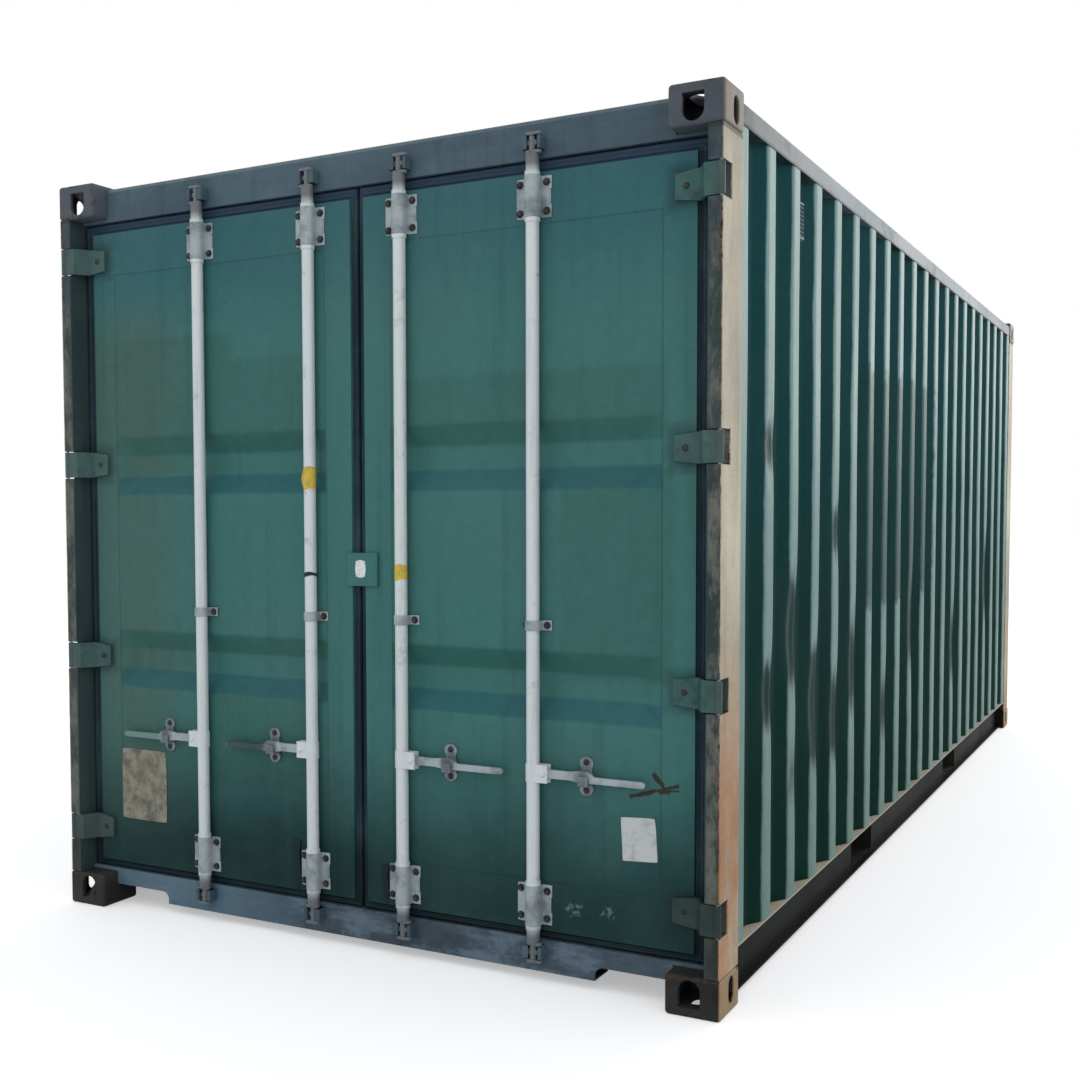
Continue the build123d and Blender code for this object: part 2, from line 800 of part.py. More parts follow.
    # Bar guides: saddles over each bar, long ones near its ends and a short strap between
    with BuildPart() as bar_guides:
        for bar_name, bar_y in bar_places:
            for guide_z, tall in (
                (low_guide_z, guide_height),
                (strap_z, strap_height),
                (high_guide_z, guide_height),
            ):
                at = side * bar_y
                flange_low = at - guide_long_flange
                flange_high = at + guide_short_flange
                with BuildSketch(Plane.XY.offset(guide_z - tall / 2)):
                    with Locations((rear(door_face - guide_flange / 2), (flange_low + flange_high) / 2)):
                        Rectangle(guide_flange, flange_high - flange_low)
                    with Locations((rear((bar_depth + door_face) / 2), at)):
                        Rectangle(door_face - bar_depth, 2 * saddle_radius)
                    with Locations((rear(bar_depth), at)):
                        Circle(saddle_radius)
                    with Locations((rear((bar_depth + door_face) / 2), at)):
                        Rectangle(
                            door_face - bar_depth, 2 * (bar_radius + guide_gap), mode=Mode.SUBTRACT
                        )
                    with Locations((rear(bar_depth), at)):
                        Circle(bar_radius + guide_gap, mode=Mode.SUBTRACT)
                extrude(amount=tall)
                if tall > guide_notch_height:
                    block(
                        (rear(door_face), flange_low, guide_z - guide_notch_height / 2),
                        (
                            rear(door_face - guide_flange),
                            flange_low + guide_notch_depth,
                            guide_z + guide_notch_height / 2,
                        ),
                        mode=Mode.SUBTRACT,
                    )
    save(bar_guides, f"{side_name}_door_bar_guides")

    # Handle retainers: a lobed plate with an open hook that the handle drops into
    handle_front = bar_depth - hub_slot_width / 2
    handle_bottom = handle_z - handle_bulge_half_width
    hook_top = handle_bottom - seat_gap
    hook_front = handle_front - hook_gap - hook_wall
    with BuildPart() as retainers:
        for bar_name, bar_y in bar_places:
            at = side * (bar_y + retainer_offset)
            with BuildSketch(Plane.YZ.offset(rear(door_face - retainer_plate))):
                with Locations((at, handle_z)):
                    Rectangle(retainer_width, 2 * retainer_lobe_offset)
                for lobe in (-1, 1):
                    with Locations((at, handle_z + lobe * retainer_lobe_offset)):
                        Circle(retainer_lobe_radius)
            extrude(amount=retainer_plate)
            with BuildSketch(Plane.XZ.offset(-at)):
                with BuildLine():
                    Polyline(
                        (rear(door_face - retainer_plate), hook_top),
                        (rear(hook_front + hook_wall), hook_top),
                        (rear(hook_front + hook_wall), handle_z + hook_lip_top),
                        (rear(hook_front), handle_z + hook_lip_top),
                        (rear(hook_front), hook_top - hook_wall),
                        (rear(door_face - retainer_plate), hook_top - hook_wall),
                        close=True,
                    )
                make_face()
            extrude(amount=hook_width / 2, both=True)
    save(retainers, f"{side_name}_door_handle_retainers")

# Plate over the seam: fixed to the right leaf on a spacer and standing clear of the left one
with BuildPart() as seam_plate:
    plate_back = door_face - running_gap
    plate_low = seam_plate_z - seam_plate_height / 2
    plate_high = seam_plate_z + seam_plate_height / 2
    plate_right = seam_plate_overlap - seam_plate_width
    block(
        (rear(plate_back - seam_plate_thickness), plate_right, plate_low),
        (rear(plate_back), seam_plate_overlap, plate_high),
    )
    block((rear(plate_back), plate_right, plate_low), (rear(door_face), -leaf_centre_edge, plate_high))
save(seam_plate, "door_seam_plate")

# Lock bars with their cams and the clevis for the handle, and the handles themselves
horn_reach_z = keeper_half_height + horn_gap + horn_height
bar_bottom = low_cam_z + horn_reach_z
bar_top = high_cam_z - horn_reach_z
hub_slot_start = handle_pin_offset - handle_root_radius - hub_slot_gap
for side_name, side in sides:
    for bar_name, bar_y in bar_places:
        at = side * bar_y
        axis = (rear(bar_depth), at)
        pin_y = at + side * handle_pin_offset
        with BuildPart() as lock_bar:
            with BuildSketch(Plane.XY.offset(bar_bottom)):
                with Locations(axis):
                    Circle(bar_radius)
            extrude(amount=bar_top - bar_bottom)
            for cam_z in (low_cam_z, high_cam_z):
                with Locations((*axis, cam_z)):
                    Cylinder(neck_radius, 2 * horn_reach_z)
                with BuildSketch(Plane.XY.offset(cam_z - prong_height / 2)):
                    with Locations(axis):
                        SlotOverall(2 * prong_reach, prong_width, rotation=90)
                extrude(amount=prong_height)
                for horn_low in (cam_z - horn_reach_z, cam_z + horn_reach_z - horn_height):
                    with BuildSketch(Plane.XY.offset(horn_low)):
                        with Locations((rear(bar_depth), at + side * (horn_long - horn_short) / 2)):
                            SlotOverall(horn_short + horn_long, horn_width, rotation=90)
                    extrude(amount=horn_height)
            for guide_z in (low_guide_z, high_guide_z):
                collar_offset = (guide_height + collar_height) / 2 + collar_gap
                for collar_z in (guide_z - collar_offset, guide_z + collar_offset):
                    with Locations((*axis, collar_z)):
                        Cylinder(collar_radius, collar_height)
            with BuildSketch(Plane.XY.offset(handle_z - hub_half_height)):
                with Locations(axis):
                    Circle(hub_back_radius)
                with Locations((rear(bar_depth), at + side * hub_reach / 2)):
                    Rectangle(2 * hub_half_depth, hub_reach)
                with Locations((rear(bar_depth), at + side * (hub_slot_start + hub_reach) / 2)):
                    Rectangle(hub_slot_width, hub_reach - hub_slot_start, mode=Mode.SUBTRACT)
            extrude(amount=2 * hub_half_height)
            with BuildSketch(Plane.YZ.offset(rear(bar_depth - hub_half_depth))):
                with Locations((pin_y, handle_z)):
                    Circle(handle_pin_radius)
            extrude(amount=2 * hub_half_depth)
        save(lock_bar, f"{side_name}_{bar_name}_lock_bar")

        with BuildPart() as handle:
            with BuildSketch(Plane.YZ.offset(rear(bar_depth - hub_slot_width / 2 + pin_gap))):
                grip_start = retainer_offset + hook_width / 2 + handle_bulge_half_width
                grip_end = handle_reach - handle_grip_half_width
                grip_z = handle_z - handle_grip_drop
                edges = []
                for edge in (1, -1):
                    line = [
                        (handle_pin_offset, handle_z + edge * handle_root_radius),
                        (retainer_offset - 1.5 * hook_width, handle_z + edge * handle_half_width),
                        (retainer_offset - hook_width / 2, handle_z + edge * handle_bulge_half_width),
                        (retainer_offset + hook_width / 2, handle_z + edge * handle_bulge_half_width),
                        (grip_start, grip_z + edge * handle_grip_half_width),
                        (grip_end, grip_z + edge * handle_grip_half_width),
                    ]
                    edges += line[::edge]
                with BuildLine():
                    Polyline([(at + side * reach, z) for reach, z in edges], close=True)
                make_face()
                with Locations((pin_y, handle_z)):
                    Circle(handle_root_radius)
                with Locations((at + side * grip_end, grip_z)):
                    Circle(handle_grip_half_width)
                with Locations((pin_y, handle_z)):
                    Circle(handle_pin_radius + pin_gap, mode=Mode.SUBTRACT)
            extrude(amount=hub_slot_width - 2 * pin_gap)
        save(handle, f"{side_name}_{bar_name}_handle")
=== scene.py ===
# %% [markdown]
# This lesson dresses a worn green freight container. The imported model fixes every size, and the cells
# below add the sheet metal's dents, the bolts and the finishes. Everything is in metres: X runs from the
# doors to the blind end, Y across, Z up from the ground.

# %% Load the frame
import json
import math
from functools import partial

import bmesh
import bpy
import numpy as np
from mathutils import Matrix, Vector


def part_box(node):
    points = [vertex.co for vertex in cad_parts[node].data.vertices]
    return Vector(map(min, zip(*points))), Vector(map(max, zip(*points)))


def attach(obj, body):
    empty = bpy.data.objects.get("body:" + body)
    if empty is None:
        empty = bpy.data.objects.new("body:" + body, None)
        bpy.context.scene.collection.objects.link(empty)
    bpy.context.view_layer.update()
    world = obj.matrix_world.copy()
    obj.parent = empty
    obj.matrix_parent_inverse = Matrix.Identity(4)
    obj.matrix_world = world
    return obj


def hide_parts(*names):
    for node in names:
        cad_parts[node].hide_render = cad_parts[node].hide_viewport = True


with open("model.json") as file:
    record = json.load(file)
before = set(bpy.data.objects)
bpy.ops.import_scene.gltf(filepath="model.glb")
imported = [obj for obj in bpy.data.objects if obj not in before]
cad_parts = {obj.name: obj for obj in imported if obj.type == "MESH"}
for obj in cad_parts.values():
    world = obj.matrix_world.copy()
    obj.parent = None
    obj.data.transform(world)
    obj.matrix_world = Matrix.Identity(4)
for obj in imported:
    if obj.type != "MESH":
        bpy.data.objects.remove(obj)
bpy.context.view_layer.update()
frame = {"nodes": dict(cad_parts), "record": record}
record = frame["record"]
body_of = {node: body for body, nodes in record["behaviour"]["bodies"].items() for node in nodes}

# %% [markdown]
# Marks and small pieces need to know where things are, so the places get names here. The two doors mirror
# each other: a side's sign is -1 on the right and 1 on the left, seen from outside.

# %% Name the places
signs = {"right": -1, "left": 1}
half_length, half_width, full_height = 3.029, 1.219, 2.591
side_skin, end_skin = 1.211, 3.021
sheet = 0.002
casting_size = (0.178, 0.162, 0.118)
door_face = -2.959
bar_x, bar_radius = -2.983, 0.02
bar_ys = {"inner": 0.172, "outer": 0.628}
guide_zs = {"low": 0.24, "high": 2.348}
hinge_zs = (0.283, 0.911, 1.6, 2.325)
band_zs = (0.903, 1.592)
band_half, band_slope = 0.104, 0.068
panel_y, panel_z = 0.573, 1.291
handle_z, strap_z = 0.643, 1.085
pin_reach, retainer_reach = 0.038, 0.165
print("places:", len(hinge_zs), "hinges and", len(bar_ys), "lock bars on each door")

# %% [markdown]
# A finish is a small network of shader nodes. Wiring each one by hand takes several lines, so one helper
# adds a node and joins or fills its sockets. A socket knows the network that it belongs to, so most
# helpers need no other hint.

# %% Wire shader nodes
def wire(tree, kind, inputs=None, **settings):
    """Add a node; each input is a plain value or the output socket of another node."""
    made = tree.nodes.new(kind)
    for key, value in settings.items():
        setattr(made, key, value)
    for key, value in (inputs or {}).items():
        if isinstance(value, bpy.types.NodeSocket):
            tree.links.new(value, made.inputs[key])
        else:
            made.inputs[key].default_value = value
    return made


def join(kind, inputs, **settings):
    """Add a node to the network that its first input socket belongs to."""
    sockets = [value for value in inputs.values() if isinstance(value, bpy.types.NodeSocket)]
    return wire(sockets[0].id_data, kind, inputs, **settings)


def sums(operation, first, second=0.0, clamp=False):
    """One Math node: first (operation) second."""
    return join("ShaderNodeMath", {0: first, 1: second}, operation=operation, use_clamp=clamp).outputs[0]


times = partial(sums, "MULTIPLY")
plus = partial(sums, "ADD")
less = partial(sums, "SUBTRACT")
largest = partial(sums, "MAXIMUM")
smallest = partial(sums, "MINIMUM")
size = partial(sums, "ABSOLUTE")
print("number helpers ready")

# %% [markdown]
# Colours are linear red, green and blue. A layer of paint is a colour laid over the one below where a
# mask says so, and most masks are noise that a smooth step has cut into patches.

# %% Mix colours and noise
def opaque(tone):
    """A plain colour with full opacity; a socket passes through."""
    return (*tone, 1.0) if isinstance(tone, tuple) else tone


def mix(factor, first, second, way="MIX"):
    """first where factor is 0, second where it is 1."""
    return join("ShaderNodeMix", {0: factor, 6: opaque(first), 7: opaque(second)},
                data_type="RGBA", blend_type=way).outputs[2]


def cover(tone, mask, share, layer):
    """Lay a share of the colour layer over tone where mask is 1."""
    return mix(times(mask, share), tone, layer)


def shade(tone, share):
    """A colour made darker: each channel times share."""
    return mix(1.0, tone, (share, share, share), "MULTIPLY")


def ramp(value, low, high):
    """Smooth step: 0 below low, 1 above high."""
    return join("ShaderNodeMapRange", {"Value": value, "From Min": low, "From Max": high},
                interpolation_type="SMOOTHSTEP").outputs["Result"]


def speckle(vector, scale, detail, roughness, stretch=None, turn=(0, 0, 0), shift=(0, 0, 0)):
    """Noise between 0 and 1 on vector, which can first be moved, turned and stretched."""
    if stretch:
        vector = join("ShaderNodeMapping", {"Vector": vector, "Location": shift, "Rotation": turn,
                                            "Scale": stretch}).outputs[0]
    return join("ShaderNodeTexNoise", {"Vector": vector, "Scale": scale, "Detail": detail,
                                       "Roughness": roughness}).outputs["Fac"]


def patches(vector, noise, low, high, stretch=None, shift=(0, 0, 0)):
    """Noise (scale, detail, roughness) cut into patches by a smooth step from low to high."""
    return ramp(speckle(vector, *noise, stretch, shift=shift), low, high)


print("colour helpers ready")

# %% [markdown]
# A node group is a finish's reusable step, like a stencil that a painter keeps. The first group marks a
# soft-edged box in space, for patches of repaint, stains and scrapes at known places. Its edge is the
# distance outside the box, roughened by noise.

# %% Group: soft box
def new_group(name, inputs, outputs):
    """An empty shader group with named sockets; returns tree, input sockets and the output node."""
    tree = bpy.data.node_groups.new(name, "ShaderNodeTree")
    kinds = {"v": "NodeSocketVector", "c": "NodeSocketColor", "f": "NodeSocketFloat"}
    for label, kind in inputs.items():
        tree.interface.new_socket(label, in_out="INPUT", socket_type=kinds[kind])
    for label, kind in outputs.items():
        tree.interface.new_socket(label, in_out="OUTPUT", socket_type=kinds[kind])
    start = tree.nodes.new("NodeGroupInput")
    return tree, start.outputs, tree.nodes.new("NodeGroupOutput")


soft_box, given, result = new_group(
    "soft box", {"Vector": "v", "Centre": "v", "Half Size": "v", "Softness": "f", "Wobble": "f"},
    {"Mask": "f"})
offset = join("ShaderNodeVectorMath", {0: given["Vector"], 1: given["Centre"]}, operation="SUBTRACT")
reach = join("ShaderNodeVectorMath", {0: offset.outputs[0]}, operation="ABSOLUTE")
excess = join("ShaderNodeVectorMath", {0: reach.outputs[0], 1: given["Half Size"]}, operation="SUBTRACT")
axes = join("ShaderNodeSeparateXYZ", {0: excess.outputs[0]}).outputs
outside = largest(largest(axes[0], axes[1]), axes[2])
rough = less(speckle(given["Vector"], 14.0, 6.0, 0.65), 0.5)
outside = plus(outside, times(rough, given["Wobble"]))
inside = join("ShaderNodeMapRange", {"Value": outside, "From Min": 0.0, "From Max": given["Softness"],
                                     "To Min": 1.0, "To Max": 0.0}, interpolation_type="SMOOTHSTEP")
soft_box.links.new(inside.outputs[0], result.inputs["Mask"])


def box_mask(vector, centre, half, softness, wobble):
    """Mask of a soft box, placed in a material."""
    place = {"Vector": vector, "Centre": centre, "Half Size": half, "Softness": softness, "Wobble": wobble}
    return join("ShaderNodeGroup", place, node_tree=soft_box).outputs["Mask"]


print("group:", soft_box.name)

# %% [markdown]
# Old container paint chalks in the sun, streaks in the rain, gathers dirt and chips down to rust. One
# group holds these layers, and every painted piece uses it with its own colours and amounts. Chips are
# where fine noise passes a level that the Rust and Edge inputs lower.

# %% Group: weathered paint
worn, given, result = new_group(
    "weathered paint",
    {"Vector": "v", "Paint": "c", "Faded": "c", "Fade": "f", "Streaks": "f", "Dirt": "f", "Rust": "f",
     "Edge": "f"},
    {"Color": "c", "Roughness": "f", "Height": "f"})
place = given["Vector"]
broad = patches(place, (1.1, 5, 0.6), 0.36, 0.66)
fading = times(broad, given["Fade"])
coat = mix(fading, given["Paint"], given["Faded"])
fine = speckle(place, 26.0, 6.0, 0.65)
coat = mix(ramp(fine, 0.62, 0.36), coat, shade(coat, 0.93))
runs = patches(place, (2.6, 5, 0.6), 0.5, 0.76, (7, 7, 0.3))
coat = mix(times(runs, given["Streaks"]), coat, shade(coat, 0.35))
pale_runs = patches(place, (3.4, 4, 0.6), 0.58, 0.8, (9, 9, 0.22), (3.1, 1.7, 0.4))
coat = cover(coat, times(pale_runs, given["Streaks"]), 0.55, given["Faded"])
soil = patches(place, (2.9, 9, 0.66), 0.5, 0.8, (1, 1, 1), (8, 2, 5))
soil = times(soil, given["Dirt"])
coat = mix(soil, coat, (0.085, 0.072, 0.056))
lines = speckle(place, 5.0, 2.0, 0.5, (1.2, 1.2, 34), turn=(0.35, 0.3, 0))
lines = times(ramp(lines, 0.685, 0.72), ramp(broad, 0.35, 0.9))
coat = cover(coat, lines, 0.28, given["Faded"])
grain = plus(times(speckle(place, 38.0, 6.0, 0.72), 0.55), times(speckle(place, 5.5, 8.0, 0.7), 0.45))
grain = plus(grain, times(given["Edge"], 0.13))
grain = plus(grain, times(given["Rust"], 0.14))
chips = ramp(grain, 0.69, 0.712)
coat = cover(coat, ramp(grain, 0.625, 0.7), 0.45, (0.12, 0.078, 0.05))
rust_tone = mix(patches(place, (55, 5, 0.7), 0.35, 0.68), (0.04, 0.022, 0.015), (0.115, 0.063, 0.036))
coat = mix(chips, coat, rust_tone)
sheen = plus(0.42, times(fading, 0.2))
sheen = plus(sheen, times(soil, 0.25))
sheen = plus(sheen, times(chips, 0.4), clamp=True)
relief = less(times(fine, 0.18), times(chips, 0.75))
for label, socket in (("Color", coat), ("Roughness", sheen), ("Height", relief)):
    worn.links.new(socket, result.inputs[label])
print("group:", worn.name, "with", len(worn.nodes), "nodes")

# %% [markdown]
# A material is a skin for one kind of piece. Each one below starts with an empty network and the piece's
# own coordinates, because the pieces sit at the origin and so carry their true place with them. The
# container is nearly symmetrical, so folding Y about the middle lets one mark serve both doors.

# %% Start a material
def new_material(name):
    """An empty material; returns it, its Object coordinates and their X, Y, Z."""
    made = bpy.data.materials.new(name)
    made.use_nodes = True
    made.node_tree.nodes.clear()
    print("material:", name)
    at = wire(made.node_tree, "ShaderNodeTexCoord").outputs["Object"]
    return made, at, join("ShaderNodeSeparateXYZ", {0: at}).outputs


def folded(xyz):
    """The point with Y made positive."""
    return join("ShaderNodeCombineXYZ", {0: xyz[0], 1: size(xyz[1]), 2: xyz[2]}).outputs[0]


def close_material(base, roughness, height=None, depth=0.0006, metallic=0.0, specular=0.2):
    """A Principled surface from a colour, a roughness and an optional bump height."""
    surface = join("ShaderNodeBsdfPrincipled", {"Base Color": base, "Roughness": roughness,
                                                "Metallic": metallic, "Specular IOR Level": specular})
    if height is not None:
        bump = join("ShaderNodeBump", {"Height": height, "Distance": depth, "Strength": 1.0})
        surface.id_data.links.new(bump.outputs[0], surface.inputs["Normal"])
    join("ShaderNodeOutputMaterial", {"Surface": surface.outputs[0]})
    return surface


def paint(at, tone, faded, fade=0.5, streaks=0.3, dirt=0.3, rust=0.2, edge=0.0):
    """The weathered-paint group placed in a material."""
    colours = {"Paint": opaque(tone), "Faded": opaque(faded)}
    wear = {"Fade": fade, "Streaks": streaks, "Dirt": dirt, "Rust": rust, "Edge": edge}
    return join("ShaderNodeGroup", {"Vector": at, **colours, **wear}, node_tree=worn).outputs


def weather(at, tone, faded, depth=0.0006, specular=0.2, **wear):
    """Close a material with weathered paint alone."""
    layers = paint(at, tone, faded, **wear)
    close_material(layers["Color"], layers["Roughness"], layers["Height"], depth, specular=specular)


print("material helpers ready")

# %% [markdown]
# The doors are a deep sea green, with a painted bluish sky tint under the header, and darker towards
# the sill. Someone has rolled a greener tin over worn patches. In each pressed band the upper slope is
# painted a darker green as its shade, and the lower slope, which faces the sky, a painted sky blue.
# Round the hinges the paint is darkened, partly by grime and partly as the painted shadow of the blades,
# and a swinging handle has torn the paint beside the outer bar.

# %% Door paint
def door_mask(vector, y, z, half_y, half_z, softness, wobble, half_x=0.2):
    """A soft box on the door face."""
    return box_mask(vector, (-2.96, y, z), (half_x, half_y, half_z), softness, wobble)


def stroke(at, y, z, length, width, angle):
    """A thin ragged scratch on the door face: a soft box in coordinates turned by angle about X."""
    moved = join("ShaderNodeVectorMath", {0: at, 1: (-2.96, y, z)}, operation="SUBTRACT").outputs[0]
    spun = join("ShaderNodeVectorRotate", {"Vector": moved, "Angle": angle}, rotation_type="X_AXIS")
    return box_mask(spun.outputs[0], (0, 0, 0), (0.02, length / 2, width / 2), 0.005, 0.022)


door_paint, at, xyz = new_material("door_paint")
both = folded(xyz)
# painted sky tint: the green turns bluer towards the top of the doors
tone = mix(times(ramp(xyz[2], 1.95, 2.42), 0.85), (0.052, 0.174, 0.16), (0.026, 0.108, 0.138))
repaint = door_mask(at, 0.83, 1.85, 0.31, 0.17, 0.03, 0.05)
for y, z, half_y, half_z in ((-0.6, 1.76, 0.42, 0.07), (0.4, 1.79, 0.2, 0.14),
                             (-0.88, 1.24, 0.16, 0.3), (0.42, 0.66, 0.22, 0.16)):
    repaint = largest(repaint, door_mask(at, y, z, half_y, half_z, 0.03, 0.05))
tone = cover(tone, repaint, 0.5, (0.04, 0.122, 0.1))
tone = cover(tone, door_mask(at, 1.02, 1.2, 0.12, 0.8, 0.25, 0.3), 0.55, (0.072, 0.12, 0.09))
# band slopes: painted shade on the upper slope, painted sky light on the lower one
upper_slope_shade, lower_slope_skylight = (0.03, 0.126, 0.101), (0.02, 0.114, 0.132)
for band_z in band_zs:
    for slope_z, slope_shading in ((band_z + 0.07, upper_slope_shade), (band_z - 0.07, lower_slope_skylight)):
        slope = door_mask(both, panel_y, slope_z, 0.444, 0.027, 0.012, 0.006)
        tone = cover(tone, slope, 0.75, slope_shading)
past_side = less(size(less(size(xyz[1]), panel_y)), 0.448)
past_end = less(size(less(xyz[2], panel_z)), 0.981)
past_panel = largest(past_side, past_end)
tone = cover(tone, ramp(past_panel, -0.002, 0.002), 0.1, (0.07, 0.205, 0.18))
tone = cover(tone, ramp(size(past_panel), 0.0045, 0.0015), 0.3, (0.012, 0.04, 0.038))
# darker towards the sill
low = ramp(plus(xyz[2], times(speckle(at, 2.0, 6.0, 0.6), 0.35)), 0.96, 0.36)
tone = cover(tone, low, 0.95, (0.002, 0.019, 0.021))
# painted shadow of the hinge blades, with some grime
for hinge_z in hinge_zs:
    grime_and_shade = door_mask(both, 1.085, hinge_z, 0.03, 0.04, 0.045, 0.07)
    tone = cover(tone, grime_and_shade, 0.45, (0.01, 0.021, 0.021))
layers = paint(at, tone, mix(0.6, tone, (0.1, 0.2, 0.185)), fade=0.3, streaks=0.24, dirt=0.12, rust=0.02)
gash = largest(stroke(at, -1.0, 0.618, 0.15, 0.006, 0.3),
               largest(stroke(at, -1.022, 0.64, 0.07, 0.008, -0.85),
                       stroke(at, -1.045, 0.622, 0.06, 0.005, 0.15)))
skin = mix(gash, layers["Color"], (0.034, 0.031, 0.023))
for y, z, half_y, half_z in ((-0.745, 0.235, 0.02, 0.008), (-0.86, 0.24, 0.012, 0.006)):
    scuff = door_mask(at, y, z, half_y, half_z, 0.015, 0.06, half_x=0.02)
    scuff = times(scuff, patches(at, (70, 6, 0.7), 0.48, 0.6))
    skin = cover(skin, scuff, 0.6, (0.17, 0.3, 0.3))
close_material(skin, layers["Roughness"], less(layers["Height"], gash), specular=0.12)

# %% [markdown]
# The hinge blades are forged and painted with the doors. Their edges are rubbed pale, and oil and dirt
# run from the pins over the outer half.

# %% Hinge paint
hinge_paint, at, xyz = new_material("hinge_paint")
oily = patches(at, (14, 8, 0.7), 0.44, 0.66)
tone = mix(times(oily, 0.7), (0.044, 0.125, 0.116), (0.018, 0.04, 0.038))
tone = cover(tone, ramp(size(xyz[1]), 1.15, 1.2), 0.45, (0.07, 0.08, 0.07))
tone = cover(tone, ramp(xyz[2], 0.6, 0.3), 0.75, (0.012, 0.02, 0.019))
weather(at, tone, (0.12, 0.17, 0.155), fade=0.4, streaks=0.3, dirt=0.35, rust=0.3)

# %% [markdown]
# The header and the sill were finished in a bluer tin. The sill takes the knocks of fork trucks, so it is
# scuffed and tarred along its length, and cleaner towards the left.

# %% Header and sill paint
header_paint, at, xyz = new_material("header_paint")
patch = patches(at, (1.6, 6, 0.6), 0.4, 0.62, (1, 1, 3))
tone = mix(patch, (0.04, 0.078, 0.106), (0.068, 0.12, 0.15))
weather(at, tone, (0.12, 0.17, 0.195), fade=0.35, streaks=0.45, dirt=0.22, rust=0.16)

sill_paint, at, xyz = new_material("sill_paint")
scuff = patches(at, (3, 8, 0.7), 0.44, 0.58, (1, 0.9, 3))
tone = mix(times(scuff, 0.6), (0.03, 0.052, 0.078), (0.19, 0.265, 0.33))
tar = patches(at, (4.5, 9, 0.75), 0.47, 0.58, (1, 0.8, 2), (1, 6, 3))
tone = cover(tone, tar, 0.75, (0.012, 0.014, 0.017))
tone = cover(tone, ramp(xyz[1], 0.0, 0.55), 0.8, (0.11, 0.19, 0.255))
weather(at, tone, (0.13, 0.19, 0.23), fade=0.5, streaks=0.2, dirt=0.3, rust=0.3)

# %% [markdown]
# The corner posts carry two finishes: a dark chipped front, and an outer side bleached to cream with rust
# below, with a painted highlight across its middle height. The line between them is the post's own
# corner, so a mask on the distance from the side plane tells them apart. The part next to the doors is
# painted a dark slate green as the shade in the gap beside them.

# %% Post paint
post_paint, at, xyz = new_material("post_paint")
across = less(half_width, size(xyz[1]))
ragged = times(less(speckle(at, 22.0, 6.0, 0.7), 0.5), 0.008)
side_face = ramp(plus(across, ragged), 0.008, 0.006)
worn_cream = patches(at, (4, 7, 0.7), 0.4, 0.66, (1, 1, 0.45))
bleach_and_highlight = mix(worn_cream, (0.45, 0.395, 0.285), (0.29, 0.26, 0.195))
# painted highlight: the cream side is brightest at mid-height
highlight_band = less(1.0, size(times(less(xyz[2], 1.35), 2.4)), clamp=True)
bleach_and_highlight = cover(bleach_and_highlight, highlight_band, 0.7, (0.72, 0.67, 0.52))
tan = times(ramp(xyz[2], 1.25, 0.45), patches(at, (8, 9, 0.75), 0.42, 0.56, (1, 1, 0.5)))
bleach_and_highlight = cover(bleach_and_highlight, tan, 0.85, (0.47, 0.215, 0.1))
old_green = patches(at, (5, 8, 0.72), 0.52, 0.68, (1, 1, 0.3), (4, 0, 2))
bleach_and_highlight = cover(bleach_and_highlight, old_green, 0.45, (0.19, 0.19, 0.14))
chipped = patches(at, (9, 8, 0.75), 0.44, 0.6, (1, 1, 0.4))
front_tone = mix(chipped, (0.038, 0.056, 0.054), (0.155, 0.16, 0.138))
front_tone = cover(front_tone, ramp(xyz[2], 2.05, 2.35), 0.7, (0.046, 0.066, 0.09))
front_tone = cover(front_tone, ramp(xyz[2], 0.45, 0.18), 0.8, (0.026, 0.028, 0.022))
# painted shade where the post faces the doors
door_gap_shade = times(ramp(across, 0.04, 0.047), ramp(xyz[0], -2.0, -2.5))
front_tone = cover(front_tone, door_gap_shade, 0.92, (0.03, 0.062, 0.068))
tone = mix(side_face, front_tone, bleach_and_highlight)
weld = ramp(xyz[2], 2.456, 2.464)
tone = cover(tone, weld, 0.85, (0.03, 0.026, 0.024))
corner = times(times(ramp(across, 0.02, 0.008), ramp(across, 0.004, 0.007)), 0.8)
faded = mix(side_face, mix(0.5, front_tone, (0.15, 0.165, 0.155)), (0.6, 0.54, 0.41))
weather(at, tone, faded, 0.0014, 0.04, fade=0.4, streaks=0.45, dirt=0.3, rust=0.26, edge=corner)

# %% [markdown]
# The side sheets are pressed into waves. Their outer crests are painted a pale aqua, chalked paint with a
# painted reflection of the bright sky, and the slopes and valleys are painted a dark green as their shade,
# bluer near the top and almost black low down. The depth from the side plane says which is which.

# %% Wall paint, outside and inside
wall_paint, at, xyz = new_material("wall_paint")
across = less(side_skin, size(xyz[1]))
ragged = times(less(speckle(at, 9.0, 7.0, 0.7, (1, 1, 0.4)), 0.5), 0.009)
crest = ramp(plus(across, ragged), 0.008, 0.002)
recoat = box_mask(at, (-0.55, -1.2, 1.5), (0.75, 0.2, 0.42), 0.08, 0.25)
recoat = largest(recoat, box_mask(at, (0.6, 1.2, 1.25), (0.6, 0.2, 0.36), 0.08, 0.25))
climb = ramp(xyz[2], 0.3, 2.3)
# painted shade in the slopes and valleys, darker low down
valley = mix(climb, (0.002, 0.026, 0.019), (0.007, 0.056, 0.06))
# painted reflection of the sky on the crests, over chalked paint
chalk_and_highlight = times(crest, less(1.0, times(recoat, 0.6)))
tone = mix(chalk_and_highlight, valley, mix(climb, (0.165, 0.265, 0.24), (0.235, 0.365, 0.35)))
tone = cover(tone, recoat, 0.4, (0.01, 0.036, 0.036))
faded = mix(chalk_and_highlight, mix(0.25, valley, (0.06, 0.125, 0.125)), (0.3, 0.425, 0.405))
weather(at, tone, faded, specular=0.04, fade=0.35, streaks=0.4, dirt=0.06, rust=0.08)

